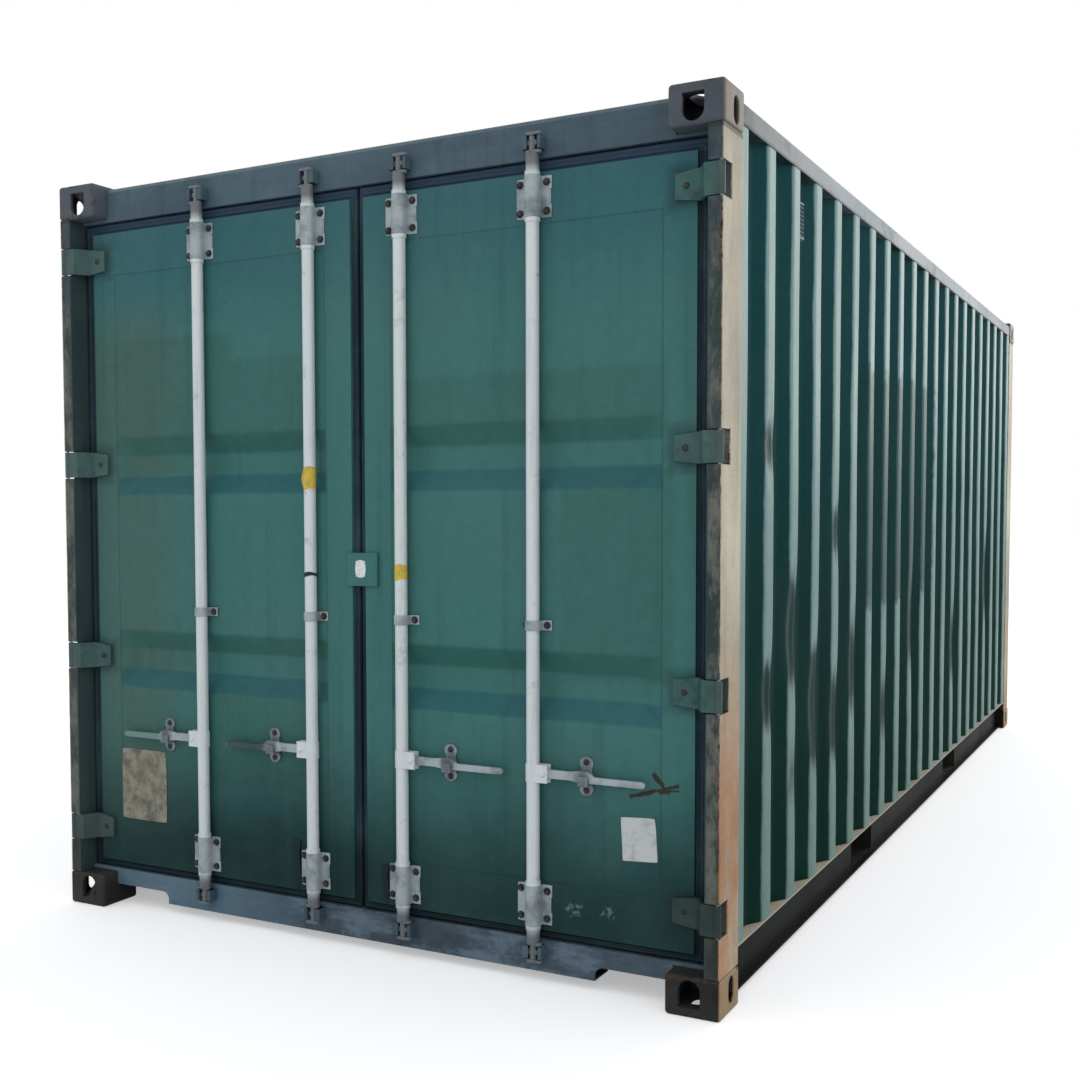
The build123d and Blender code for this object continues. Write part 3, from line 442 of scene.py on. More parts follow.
inside_paint, at, xyz = new_material("inside_paint")
kick = times(ramp(xyz[2], 1.1, 0.2), patches(at, (3, 8, 0.7), 0.42, 0.62))
tone = mix(times(kick, 0.5), (0.4, 0.41, 0.39), (0.2, 0.18, 0.15))
weather(at, tone, (0.5, 0.51, 0.49), fade=0.5, streaks=0.15, dirt=0.3, rust=0.16)

# %% [markdown]
# The rails, the blind end and the roof share the green but differ in light and dirt: the roof collects
# dust and rust spots, the bottom rails end in a cream flange over a black web, and the top rails are
# bleached to a dusty grey-blue on their outer face, browner beside the castings. On the blind end and
# the roof the crests of the waves are painted lighter and the valleys darker, as painted light and
# shade, and the rest of each top rail, its underside too, is painted near-black as its shade.

# %% Rail, end and roof paint
end_paint, at, xyz = new_material("end_paint")
# painted light on the outer faces of the waves, painted shade in the valleys
tone = mix(ramp(less(end_skin, xyz[0]), 0.004, 0.04), (0.07, 0.16, 0.15), (0.024, 0.08, 0.075))
weather(at, tone, (0.11, 0.2, 0.188), fade=0.5, streaks=0.45, dirt=0.3, rust=0.28)

roof_paint, at, xyz = new_material("roof_paint")
# painted light on the roof's crests, painted shade in its valleys
tone = mix(ramp(xyz[2], 2.568, 2.584), (0.034, 0.08, 0.074), (0.09, 0.165, 0.155))
weather(at, tone, (0.16, 0.215, 0.205), fade=0.7, streaks=0.0, dirt=0.6, rust=0.42)

rail_paint, at, xyz = new_material("rail_paint")
across = less(half_width, size(xyz[1]))
pale = times(ramp(across, 0.06, 0.04), ramp(xyz[2], 2.507, 2.516))
near_end = times(ramp(size(xyz[0]), 1.6, 2.7), 0.6)
dusty = mix(near_end, (0.215, 0.265, 0.295), (0.13, 0.122, 0.115))
# painted shade: away from its outer face the rail, underside too, is near-black
tone = mix(pale, (0.014, 0.026, 0.028), dusty)
weather(at, tone, (0.29, 0.34, 0.365), 0.001, 0.04, fade=0.4, streaks=0.2, dirt=0.6, rust=0.34)

base_paint, at, xyz = new_material("base_paint")
flange = ramp(xyz[2], 0.158, 0.163)
tone = mix(flange, (0.007, 0.008, 0.008), (0.47, 0.43, 0.33))
faded = mix(flange, (0.014, 0.015, 0.014), (0.56, 0.52, 0.42))
weather(at, tone, faded, specular=0.04, fade=0.5, streaks=0.1, dirt=times(flange, 0.4),
        rust=times(flange, 0.3))

# %% [markdown]
# Corner castings are thick cast steel that scrapes against ships and trucks, so the paint is gone from
# every edge. All eight are the same box, so folding space by its symmetry gives the distance to each face
# of the nearest one. An edge is where the second smallest of the three distances is small. The upper ones
# keep a slate paint, and the lower ones are black in front, partly tar and partly painted shade, and tan
# with dust at the side. The insides of the holes, far from every face, are painted dark as their shade.

# %% Casting finish
cast_finish, at, xyz = new_material("cast_finish")
along = less(half_length, size(xyz[0]))
across = less(half_width, size(xyz[1]))
up = smallest(xyz[2], less(full_height, xyz[2]))
near = [smallest(value, less(extent, value)) for value, extent in zip((along, across, up), casting_size)]
smaller = smallest(near[0], near[1])
larger = largest(near[0], near[1])
second = largest(smaller, smallest(larger, near[2]))
# painted shade inside the holes, far from every face of the box
hole_shade = ramp(smallest(smaller, near[2]), 0.004, 0.012)
edge = ramp(second, 0.022, 0.004)
side_face = ramp(across, 0.006, 0.002)
high = ramp(xyz[2], 1.0, 1.6)
# the lower castings are near-black: partly tar, partly painted shade
tone = mix(high, (0.012, 0.012, 0.01), (0.074, 0.096, 0.124))
mottle = patches(at, (7, 8, 0.7), 0.46, 0.66)
tone = cover(tone, mottle, 0.6, mix(high, (0.04, 0.037, 0.03), (0.066, 0.06, 0.06)))
tone = cover(tone, side_face, 0.92, mix(high, (0.4, 0.265, 0.15), (0.27, 0.235, 0.185)))
tone = mix(hole_shade, tone, (0.01, 0.013, 0.02))
layers = paint(at, tone, mix(0.6, tone, (0.2, 0.2, 0.2)), fade=0.4, streaks=0.1, dirt=0.25, rust=0.2,
               edge=times(edge, 0.75))
pits = plus(layers["Height"], times(speckle(at, 90.0, 5.0, 0.7), 0.7))
close_material(layers["Color"], layers["Roughness"], pits, 0.0016, specular=0.05)

# %% [markdown]
# The lock bars and their fittings are galvanised: pale grey zinc with a faint spangle, streaked by years
# of rain, with dark grease in the corners and a little rust, and darker at both ends. The fittings are
# duller, stained round the handle retainers, and the left door's handle ends are tinted: the inner one a
# dark green and the outer one a pale green-grey.

# %% Zinc
zinc_finish, at, xyz = new_material("zinc_finish")
spangle = join("ShaderNodeTexVoronoi", {"Vector": at, "Scale": 95.0}).outputs["Color"]
tone = mix(times(spangle, 0.22), (0.66, 0.71, 0.715), (0.76, 0.79, 0.79))
runs = patches(at, (5, 6, 0.65), 0.46, 0.76, (8, 8, 0.5))
tone = cover(tone, runs, 0.45, (0.36, 0.405, 0.41))
grease = patches(at, (13, 8, 0.7), 0.57, 0.74)
tone = cover(tone, grease, 0.55, (0.15, 0.165, 0.165))
# darker at both ends of the bars
ends = largest(ramp(xyz[2], 0.19, 0.14), ramp(xyz[2], 2.405, 2.45))
tone = cover(tone, ends, 0.85, (0.06, 0.072, 0.08))
rust = patches(at, (24, 7, 0.72), 0.66, 0.72, (1, 1, 1), (2, 1, 0))
tone = cover(tone, rust, 0.7, (0.15, 0.085, 0.048))
close_material(tone, plus(0.42, times(grease, 0.25)), speckle(at, 70.0, 5.0, 0.6), 0.0004, 0.12, 0.4)

dull_zinc, at, xyz = new_material("dull_zinc")
both = folded(xyz)
grime_and_shade = patches(at, (11, 7, 0.65), 0.42, 0.7)
tone = mix(grime_and_shade, (0.39, 0.44, 0.46), (0.175, 0.205, 0.22))
rust = patches(at, (28, 7, 0.72), 0.63, 0.7, (1, 1, 1), (5, 0, 1))
tone = cover(tone, rust, 0.75, (0.1, 0.064, 0.042))
for bar_y in bar_ys.values():
    stain = box_mask(both, (-2.97, bar_y + retainer_reach, handle_z), (0.06, 0.004, 0.06), 0.03, 0.06)
    tone = cover(tone, stain, 0.65, (0.04, 0.058, 0.058))
# the left door's handle ends are tinted
for grip_y, end_tint in ((0.447, (0.012, 0.042, 0.041)), (0.903, (0.13, 0.235, 0.215))):
    grip = box_mask(at, (-2.98, grip_y, handle_z), (0.06, 0.07, 0.05), 0.03, 0.03)
    tone = cover(tone, grip, 0.93, end_tint)
close_material(tone, plus(0.42, times(grime_and_shade, 0.2)), speckle(at, 80.0, 6.0, 0.65), 0.0005, 0.12, 0.4)

# %% [markdown]
# The next finishes are plainer: aged rubber, plywood boards with their seams, the moulded vent and the
# tarred underside. The rubber is bluer under the header, a painted sky tint like the doors', and darker
# by the sill, as the paint round it is.

# %% Rubber, boards, vent and underside
rubber, at, xyz = new_material("aged_rubber")
bloom = patches(at, (7, 8, 0.7), 0.44, 0.7, (1, 1, 0.4))
tone = mix(bloom, (0.018, 0.037, 0.048), (0.045, 0.086, 0.103))
# painted sky tint on the gasket under the header
tone = cover(tone, ramp(xyz[2], 2.416, 2.424), 0.9, (0.031, 0.056, 0.094))
tone = cover(tone, ramp(xyz[2], 0.42, 0.3), 0.7, (0.006, 0.015, 0.019))
close_material(tone, plus(0.55, times(bloom, 0.2)), speckle(at, 60.0, 6.0, 0.6), 0.0008, specular=0.15)

boards, at, xyz = new_material("floor_boards")
wood_grain = speckle(at, 6.0, 8.0, 0.65, (0.6, 14, 6))
tone = mix(ramp(wood_grain, 0.35, 0.7), (0.2, 0.115, 0.06), (0.36, 0.24, 0.14))
seam_y = sums("PINGPONG", plus(xyz[1], 5.0), 0.58)
seam_x = sums("PINGPONG", plus(xyz[0], 5.0), 1.2)
seam = largest(ramp(seam_y, 0.006, 0.002), ramp(seam_x, 0.006, 0.002))
tone = mix(seam, tone, (0.025, 0.018, 0.013))
scuffs = patches(at, (2, 9, 0.7), 0.5, 0.72, (0.5, 3, 1))
tone = cover(tone, scuffs, 0.6, (0.09, 0.075, 0.06))
close_material(tone, plus(0.55, times(scuffs, 0.25)), less(wood_grain, seam), 0.0012)

vent_plastic, at, xyz = new_material("vent_plastic")
weather(at, (0.09, 0.15, 0.16), (0.18, 0.24, 0.245), fade=0.5, streaks=0.4, dirt=0.3)

underside, at, xyz = new_material("underside_tar")
weather(at, (0.014, 0.014, 0.013), (0.032, 0.031, 0.028), 0.0015, fade=0.7, streaks=0.0, dirt=0.4, rust=0.3)

# %% [markdown]
# The smallest things share one recipe, a clean colour with smudges. It serves the bolt heads, which have
# lost their zinc and are almost black, the bare plate, the blank label, the scraps of tape and the splash
# of white paint.

# %% Smudged finishes
def smudged(name, noise, low, high, clean, smudge, sheen, grain, depth, share=1.0, metallic=0.0):
    """Smudges over a clean colour; roughness = sheen[0] + sheen[1] * smudges; grain is the bump's noise."""
    made, at, _ = new_material(name)
    marks = patches(at, noise, low, high)
    tone = mix(times(marks, share), clean, smudge)
    close_material(tone, plus(sheen[0], times(marks, sheen[1])), speckle(at, *grain), depth, metallic)
    return made


dark_bolt = smudged("dark_bolt", (90, 5, 0.7), 0.4, 0.66, (0.02, 0.023, 0.026), (0.075, 0.068, 0.06),
                    (0.45, 0.25), (120, 5, 0.65), 0.0005)
bare_plate = smudged("bare_plate", (22, 8, 0.7), 0.38, 0.66, (0.29, 0.275, 0.215), (0.14, 0.14, 0.115),
                     (0.42, 0.3), (120, 4, 0.6), 0.0004, metallic=0.25)
blank_label = smudged("blank_label", (18, 8, 0.7), 0.46, 0.72, (0.56, 0.58, 0.57), (0.27, 0.29, 0.28),
                      (0.45, 0.2), (45, 5, 0.6), 0.0006, share=0.7)
yellow_tape = smudged("yellow_tape", (40, 7, 0.7), 0.44, 0.68, (0.68, 0.48, 0.06), (0.42, 0.33, 0.12),
                      (0.4, 0.25), (90, 5, 0.6), 0.0004)
white_splash = smudged("white_splash", (60, 7, 0.7), 0.44, 0.68, (0.78, 0.79, 0.78), (0.52, 0.55, 0.54),
                       (0.4, 0.25), (90, 5, 0.6), 0.0004)

# %% [markdown]
# Real steel has no knife edges: rolled, cast and welded parts all have a small radius that catches the
# light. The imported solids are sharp, so each one is copied, its triangles are merged back into flat
# faces, and its corners are bevelled. The copy stands for the node and rides with the same body.

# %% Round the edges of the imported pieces
def place_object(name, data):
    """A new object in the scene."""
    made = bpy.data.objects.new(name, data)
    bpy.context.scene.collection.objects.link(made)
    return made


def smooth_piece(name, mesh, sharp):
    """An object of a mesh that is smooth except at edges over sharp degrees."""
    mesh.polygons.foreach_set("use_smooth", np.ones(len(mesh.polygons), dtype=bool))
    mesh.set_sharp_from_angle(angle=math.radians(sharp))
    return place_object(name, mesh)


def rounded(node, width, finish, segments=2, shortest=0.0):
    """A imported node's copy, bevelled at edges over 25 degrees; with shortest, only at long outward ones."""
    shape = bmesh.new()
    shape.from_mesh(frame["nodes"][node].data)
    bmesh.ops.remove_doubles(shape, verts=shape.verts, dist=2e-6)
    bmesh.ops.dissolve_limit(shape, angle_limit=math.radians(1.0), verts=shape.verts, edges=shape.edges)
    sharp = [edge for edge in shape.edges if edge.is_manifold and edge.calc_face_angle(0.0) > math.radians(25)
             and (not shortest or edge.is_convex and edge.calc_length() > shortest)]
    bmesh.ops.bevel(shape, geom=sharp, offset=width, segments=segments, profile=0.5, affect="EDGES",
                    clamp_overlap=True)
    mesh = bpy.data.meshes.new(f"rounded_{node}")
    shape.to_mesh(mesh)
    shape.free()
    mesh.materials.clear()
    mesh.materials.append(finish)
    piece = smooth_piece(mesh.name, mesh, 50)
    weights = piece.modifiers.new("flat faces stay flat", "WEIGHTED_NORMAL")
    weights.keep_sharp = True
    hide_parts(node)
    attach(piece, body_of[node])
    return piece


rounding = {f"{level}_corner_castings": (0.011, cast_finish, 4, 0.1) for level in ("top", "bottom")}
rounding |= {f"{side}_{end}_post": (0.004, post_paint) for end in ("rear", "front") for side in signs}
rounding |= {
    "door_header": (0.003, header_paint), "door_sill": (0.003, sill_paint),
    "top_side_rails": (0.003, rail_paint), "front_top_rail": (0.003, end_paint),
    "front_bottom_rail": (0.003, end_paint),
    "right_bottom_rail": (0.0015, base_paint), "left_bottom_rail": (0.0015, base_paint),
    "cam_keepers": (0.002, header_paint), "door_seam_plate": (0.0015, door_paint),
}
for side in signs:
    rounding[f"{side}_door_frame"] = (0.0006, door_paint, 1)
    rounding[f"{side}_door_hinges"] = (0.0025, hinge_paint)
    rounding[f"{side}_door_bar_guides"] = (0.0015, dull_zinc)
    rounding[f"{side}_door_handle_retainers"] = (0.002, dull_zinc)
    for bar in bar_ys:
        rounding[f"{side}_{bar}_lock_bar"] = (0.0015, zinc_finish)
        rounding[f"{side}_{bar}_handle"] = (0.003, dull_zinc, 3)
soft_pieces = [rounded(node, *settings) for node, settings in rounding.items()]
face_count = sum(len(piece.data.polygons) for piece in soft_pieces)
print("rounded:", len(soft_pieces), "pieces,", face_count, "faces")

# %% [markdown]
# The floor, its beams, the fork pockets and the hinge pins are hardly seen. They stay as packed and only
# take a finish.

# %% Finishes on the nodes that stay as packed
kept_nodes = {"floor": boards, "crossmembers": underside, "fork_pockets": underside, "hinge_pins": dull_zinc}
for node, finish in kept_nodes.items():
    frame["nodes"][node].data.materials.clear()
    frame["nodes"][node].data.materials.append(finish)
print("kept as packed:", ", ".join(kept_nodes))

# %% [markdown]
# Sheet metal is a surface with a thickness. A grid of points makes the outside, the same grid moved in
# makes the inside, and a strip round the border closes it. All of it is worked out as whole arrays.

# %% Sheets from grids
def add_piece(name, points, faces, finishes, body, face_finish=None, sharp=40):
    """A mesh object from arrays, with its normals turned outwards, riding on a body."""
    mesh = bpy.data.meshes.new(name)
    mesh.from_pydata(np.asarray(points).reshape(-1, 3).tolist(), [], faces)
    for finish in finishes:
        mesh.materials.append(finish)
    if face_finish is not None:
        mesh.polygons.foreach_set("material_index", np.asarray(face_finish, dtype=np.int32))
    shape = bmesh.new()
    shape.from_mesh(mesh)
    bmesh.ops.recalc_face_normals(shape, faces=shape.faces)
    shape.to_mesh(mesh)
    shape.free()
    piece = smooth_piece(name, mesh, sharp)
    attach(piece, body)
    print("piece:", name, "with", len(mesh.polygons), "faces")
    return piece


def grid(x, y, z):
    """Points of a surface from three arrays that spread over the same rows and columns."""
    return np.stack(np.broadcast_arrays(x, y, z), axis=-1)


def grid_quads(rows, columns, start=0):
    """Corner numbers of every square of a grid stored row by row."""
    corner = (np.arange(rows - 1)[:, None] * columns + np.arange(columns - 1)[None, :]).ravel() + start
    return np.stack([corner, corner + 1, corner + columns + 1, corner + columns], axis=1)


def closed_sheet(outer, inner):
    """Points, faces and a finish number (0 outside, 1 inside and rim) of a sheet between two equal grids."""
    rows, columns = outer.shape[:2]
    count = rows * columns
    number = np.arange(count).reshape(rows, columns)
    rim = np.concatenate([number[0, :-1], number[:-1, -1], number[-1, :0:-1], number[:0:-1, 0]])
    following = np.roll(rim, -1)
    border = np.stack([rim, rim + count, following + count, following], axis=1)
    outside = grid_quads(rows, columns)
    inside = grid_quads(rows, columns, count)[:, ::-1]
    faces = np.concatenate([outside, inside, border])
    finish = np.concatenate([np.zeros(len(outside)), np.ones(len(inside) + len(border))])
    points = np.concatenate([outer.reshape(-1, 3), inner.reshape(-1, 3)])
    return points, faces, finish


def add_sheet(name, outer, inner, finishes, body, sharp=40):
    """A closed sheet as a piece; a second finish goes on its inside and rim."""
    points, faces, finish = closed_sheet(outer, inner)
    two_sided = finish if len(finishes) > 1 else None
    return add_piece(name, points, faces.tolist(), finishes, body, two_sided, sharp)


print("sheet helpers ready")

# %% [markdown]
# Four small formulas shape the sheets: the pressed wave, the rounding of its bends, the dents, and a half
# sine that lets dents and bulges fade out at the border, where a sheet is welded.

# %% Waves, bends and dents
def wave(distance, start, count, first, slope, second):
    """Trapezoid wave: level 0 on the first flats and 1 on the second, with straight slopes between."""
    pitch = first + 2 * slope + second
    along = distance - start
    phase = np.mod(along, pitch)
    rise = np.clip(np.minimum(phase / slope, (2 * slope + second - phase) / slope), 0, 1)
    return np.where((along > 0) & (along < count * pitch - first), rise, 0.0)


def ease(level, reach=3):
    """Round the bends: a running mean along the second axis, padded with the end values."""
    kernel = np.ones(reach) / reach
    padded = np.pad(level, ((0, 0), (reach // 2, reach - 1 - reach // 2)), mode="edge")
    return np.stack([np.convolve(row, kernel, mode="valid") for row in padded])


def dents(along, up, marks):
    """Sum of bell-shaped hollows: depth * exp(-((x-x0)/rx)^2 - ((z-z0)/rz)^2) for each mark."""
    hollow = np.zeros(np.broadcast(along, up).shape)
    for x0, z0, rx, rz, depth in marks:
        hollow += depth * np.exp(-((along - x0) / rx) ** 2 - ((up - z0) / rz) ** 2)
    return hollow


def held(values, low, high):
    """Half a sine: 0 at low and high, where the border is held, and 1 between."""
    return np.sin(np.pi * (values - low) / (high - low))


print("shape helpers ready")

# %% [markdown]
# The side walls are the widest sheets. Cargo and forklifts have bent the crests of the near one, mostly
# low down, so bell-shaped dents push them in, and a slow sideways wander stops the bends from being
# ruler-straight.

# %% Side walls
def side_wall(name, sign, marks, columns=760, rows=46, margin=0.069, wave_depth=0.036):
    """The corrugated sheet of one side: y = sign * (side skin - depth * level(x) - dents)."""
    low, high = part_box(name)
    along = np.linspace(low[0], high[0], columns)[None, :]
    up = np.linspace(low[2], high[2], rows)[:, None]
    fixed = held(up, low[2], high[2])
    wander = 0.004 * fixed * np.sin(along * 2.3 + up * 3.1 + sign)
    wander += 0.003 * fixed * np.sin(along * 5.9 - up * 5.3)
    level = ease(wave(along + wander, low[0] + margin, count=20, first=0.076, slope=0.068, second=0.07))
    skin = side_skin - wave_depth * level - dents(along, up, marks) * fixed
    outer, inner = (grid(along, sign * face, up) for face in (skin, skin - sheet))
    piece = add_sheet(f"pressed_{name}", outer, inner, [wall_paint, inside_paint], "container_frame",
                      sharp=60)
    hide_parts(name)


near_dents = [
    (-2.54, 1.62, 0.05, 0.07, 0.012), (-2.54, 0.86, 0.05, 0.1, 0.02), (-2.26, 1.02, 0.06, 0.16, 0.02),
    (-2.26, 0.55, 0.06, 0.12, 0.012), (-1.97, 0.74, 0.07, 0.18, 0.026), (-1.69, 0.66, 0.07, 0.16, 0.02),
    (-1.69, 1.35, 0.05, 0.1, 0.01), (-1.41, 0.82, 0.06, 0.2, 0.014), (-0.85, 0.6, 0.07, 0.14, 0.014),
    (-0.28, 0.9, 0.07, 0.22, 0.012), (0.84, 0.7, 0.08, 0.2, 0.014), (1.97, 1.0, 0.08, 0.24, 0.012)]
far_dents = [
    (-2.26, 0.7, 0.07, 0.16, 0.014), (-0.56, 1.1, 0.08, 0.2, 0.012), (0.84, 0.62, 0.07, 0.15, 0.018),
    (2.26, 0.85, 0.08, 0.2, 0.014)]
for side, marks in (("right", near_dents), ("left", far_dents)):
    side_wall(f"{side}_side_wall", signs[side], marks)

# %% [markdown]
# The blind end has fewer and squarer waves, and the roof has many low ones. Both are the same kind of
# sheet, turned another way. The stamping die closes each roof wave at the side rails, so the waves sink
# there in a quarter of a sine, and the roof keeps a flat strip at each end, between the castings.

# %% Blind end and roof
low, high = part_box("front_wall")
across = np.linspace(low[1], high[1], 420)[None, :]
up = np.linspace(low[2], high[2], 40)[:, None]
level = ease(wave(across + 0 * up, -0.945, count=8, first=0.11, slope=0.018, second=0.104))
end_dents = [(0.35, 0.8, 0.09, 0.2, 0.016), (-0.6, 1.3, 0.1, 0.2, 0.01)]
skin = end_skin - 0.0456 * level - dents(across, up, end_dents) * held(up, low[2], high[2])
outer = grid(skin, across, up)
end_sheet = add_sheet("pressed_front_wall", outer, outer - np.array([sheet, 0, 0]), [end_paint, inside_paint],
                      "container_frame", sharp=60)
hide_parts("front_wall")

roof_half_width, roof_waves, roof_pitch = 1.181, 26, 0.209
along = np.linspace(-2.851, 2.851, 820)[None, :]
across = roof_half_width * np.sin(np.linspace(-np.pi / 2, np.pi / 2, 36))[:, None]
first_rise = -roof_waves * roof_pitch / 2 + 0.0455
level = ease(wave(along + 0 * across, first_rise, roof_waves, first=0.091, slope=0.0135, second=0.091))
level *= np.sin(np.pi / 2 * np.clip((1.179 - np.abs(across)) / 0.045, 0, 1))
under = grid(along, across, 2.5645 + 0.0195 * level)
thick = np.array([0, 0, sheet])
blocks = [closed_sheet(under + thick, under)]
strip_y = np.linspace(-1.057, 1.057, 30)[:, None]
for start, end, strip_z in ((-2.8513, -2.945, 2.579), (2.8513, 3.023, 2.566)):
    flat = grid(np.linspace(start, end, 6)[None, :], strip_y, strip_z)
    blocks.append(closed_sheet(flat, flat - thick))
points, faces, finish = zip(*blocks)
shifts = np.cumsum([0] + [len(block) for block in points])
faces = np.concatenate([block + shift for block, shift in zip(faces, shifts)])
roof_sheet = add_piece("pressed_roof", np.concatenate(points), faces.tolist(), [roof_paint, inside_paint],
                       "container_frame", np.concatenate(finish), sharp=60)
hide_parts("roof")

# %% [markdown]
# Each door has a flush sheet with two pressed bands. A band is a tray: its depth rises along all four
# sloping sides and then stays flat, which is the smaller of two clipped ramps. The sheet also breathes a
# millimetre or so.

# %% Door panels
def door_panel(side, sign, marks, columns=150, rows=260, tray_depth=0.036):
    """x = door face + tray depth + slow swell + dents, over a grid in y and z."""
    low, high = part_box(f"{side}_door_panel")
    across = np.linspace(low[1], high[1], columns)[None, :]
    up = np.linspace(low[2], high[2], rows)[:, None]
    middle = (low[1] + high[1]) / 2
    ends = np.clip(((high[1] - low[1]) / 2 - 0.004 - np.abs(across - middle)) / band_slope, 0, 1)
    tray = np.zeros((rows, columns))
    for band_z in band_zs:
        slopes = np.clip((band_half - np.abs(up - band_z)) / band_slope, 0, 1)
        tray = np.maximum(tray, np.minimum(slopes, ends))
    tray = ease(ease(tray).T).T
    fixed = held(across, low[1], high[1]) * held(up, low[2], high[2])
    swell = 0.0014 * fixed * (1 + np.sin(across * 6 + up * 4 + sign) * np.cos(up * 7 - across * 3))
    face = low[0] + tray_depth * tray + swell + dents(across, up, marks) * np.sqrt(np.abs(fixed))
    outer = grid(face, across, up)
    piece = add_sheet(f"pressed_{side}_door_panel", outer, outer + np.array([0.0022, 0, 0]),
                      [door_paint, inside_paint], f"{side}_door", sharp=60)
    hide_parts(f"{side}_door_panel")


door_dents = {"right": [(-0.99, 0.64, 0.05, 0.05, 0.008), (-0.45, 0.48, 0.12, 0.1, 0.005),
                        (-0.8, 1.95, 0.12, 0.1, 0.004)],
              "left": [(0.42, 0.6, 0.12, 0.1, 0.005), (0.85, 1.25, 0.1, 0.1, 0.005)]}
for side, sign in signs.items():
    door_panel(side, sign, door_dents[side])

# %% [markdown]
# A rubber gasket closes the gap round each leaf. It is a lip with ribs, carried round a rectangle: the
# ring runs from the leaf's edge to the outer edge, and its depth follows the ribs across that width.

# %% Door gaskets
def rectangle(low, high, per_side=40):
    """Points in Y and Z round a box's rectangle, the same number on each side, starting at the low corner."""
    corners = np.array([(low[1], low[2]), (high[1], low[2]), (high[1], high[2]), (low[1], high[2])])
    runs = np.roll(corners, -1, axis=0) - corners
    t = np.linspace(0, 1, per_side, endpoint=False)[:, None]
    return (corners[:, None] + runs[:, None] * t).reshape(-1, 2).T


def gasket(side, steps=15):
    """A ribbed band: at share u from leaf edge to outer edge, depth = 4.5 mm * (1 - |cos(2.5 pi u)|)."""
    node = f"{side}_door_gasket"
    low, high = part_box(node)
    inner_y, inner_z = rectangle(*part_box(f"{side}_door_frame"))
    outer_y, outer_z = rectangle(low, high)
    share = np.concatenate([np.linspace(0, 1, steps), np.linspace(1, 0, steps)])
    rib = 0.0045 * (1 - np.abs(np.cos(2.5 * np.pi * np.linspace(0, 1, steps))))
    depth = np.concatenate([low[0] + rib, np.full(steps, high[0])])
    ripple = 0.0012 * np.sin(np.arange(len(inner_y)) * 1.9) * (depth < high[0])[:, None]
    y = inner_y + (outer_y - inner_y) * share[:, None]
    z = inner_z + (outer_z - inner_z) * share[:, None]
    points = np.stack([depth[:, None] + np.abs(ripple), y, z], axis=-1)
    number = np.arange(y.size).reshape(y.shape)
    right = np.roll(number, -1, axis=1)
    faces = np.stack([number, right, np.roll(right, -1, axis=0), np.roll(number, -1, axis=0)], axis=-1)
    faces = faces.reshape(-1, 4)
    piece = add_piece(f"ribbed_{node}", points, faces.tolist(), [rubber], f"{side}_door")
    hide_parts(node)


for side in signs:
    gasket(side)

# %% [markdown]
# Bolts and rivets are turned shapes repeated many times. One profile of rings is computed for all places
# at once: a flat washer, then a six-sided or round head.

# %% Bolts and rivets
def turned(name, centres, rings, sides, finish, body, turn=0.3):
    """Rings (radius r, height h) facing -X at every centre: centre + (-h, r sin(a), r cos(a))."""
    angle = np.arange(sides) * 2 * np.pi / sides + turn
    radius, height = np.array(rings).T[:, :, None]
    ring = grid(-height, radius * np.sin(angle), radius * np.cos(angle))
    points = np.array(centres)[:, None, None, :] + ring
    number = np.arange(points.size // 3).reshape(points.shape[:3])
    after = np.roll(number, -1, axis=2)
    walls = np.stack([number[:, :-1], after[:, :-1], after[:, 1:], number[:, 1:]], axis=-1).reshape(-1, 4)
    ends = number[:, 0, ::-1].tolist() + number[:, -1].tolist()
    add_piece(name, points, walls.tolist() + ends, [finish], body, sharp=30)


bolt_head = [(0.0125, 0.0), (0.0125, 0.0018), (0.0088, 0.0019), (0.0088, 0.0075), (0.0075, 0.0086)]
rivet_head = [(0.0095, 0.0), (0.0092, 0.0018), (0.007, 0.0042), (0.0035, 0.0054)]
flange_x, plate_x = -half_length + 0.064, -2.9618
pair = (-0.042, 0.042)
for side, sign in signs.items():
    bolts, rivets = [], []
    for bar_y in bar_ys.values():
        for guide_z in guide_zs.values():
            bolts += [(flange_x, sign * bar_y - 0.038, guide_z + dz) for dz in pair]
            bolts += [(plate_x, sign * bar_y + 0.05, guide_z + dz) for dz in pair]
        bolts += [(flange_x, sign * bar_y - 0.039, strap_z), (flange_x, sign * bar_y + 0.0295, strap_z)]
        rivets += [(flange_x, sign * (bar_y + retainer_reach), handle_z + dz) for dz in pair]
    turned(f"{side}_guide_bolts", bolts, bolt_head, 6, dark_bolt, f"{side}_door")
    turned(f"{side}_retainer_rivets", rivets, rivet_head, 12, dark_bolt, f"{side}_door")
    studs = [(-half_length + 0.058, sign * 1.092, hinge_z) for hinge_z in hinge_zs]
    turned(f"{side}_hinge_studs", studs, rivet_head, 12, dark_bolt, f"{side}_door")
    for bar, bar_y in bar_ys.items():
        pin = [(-half_length + 0.03, sign * (bar_y + pin_reach), handle_z)]
        turned(f"{side}_{bar}_handle_pin_head", pin, rivet_head, 14, zinc_finish, f"{side}_{bar}_bar")

# %% [markdown]
# A ventilator is a small moulded box of downward louvres over holes in the wall. Its face is a saw-tooth
# in height on a rounded pad, which sheds the rain.

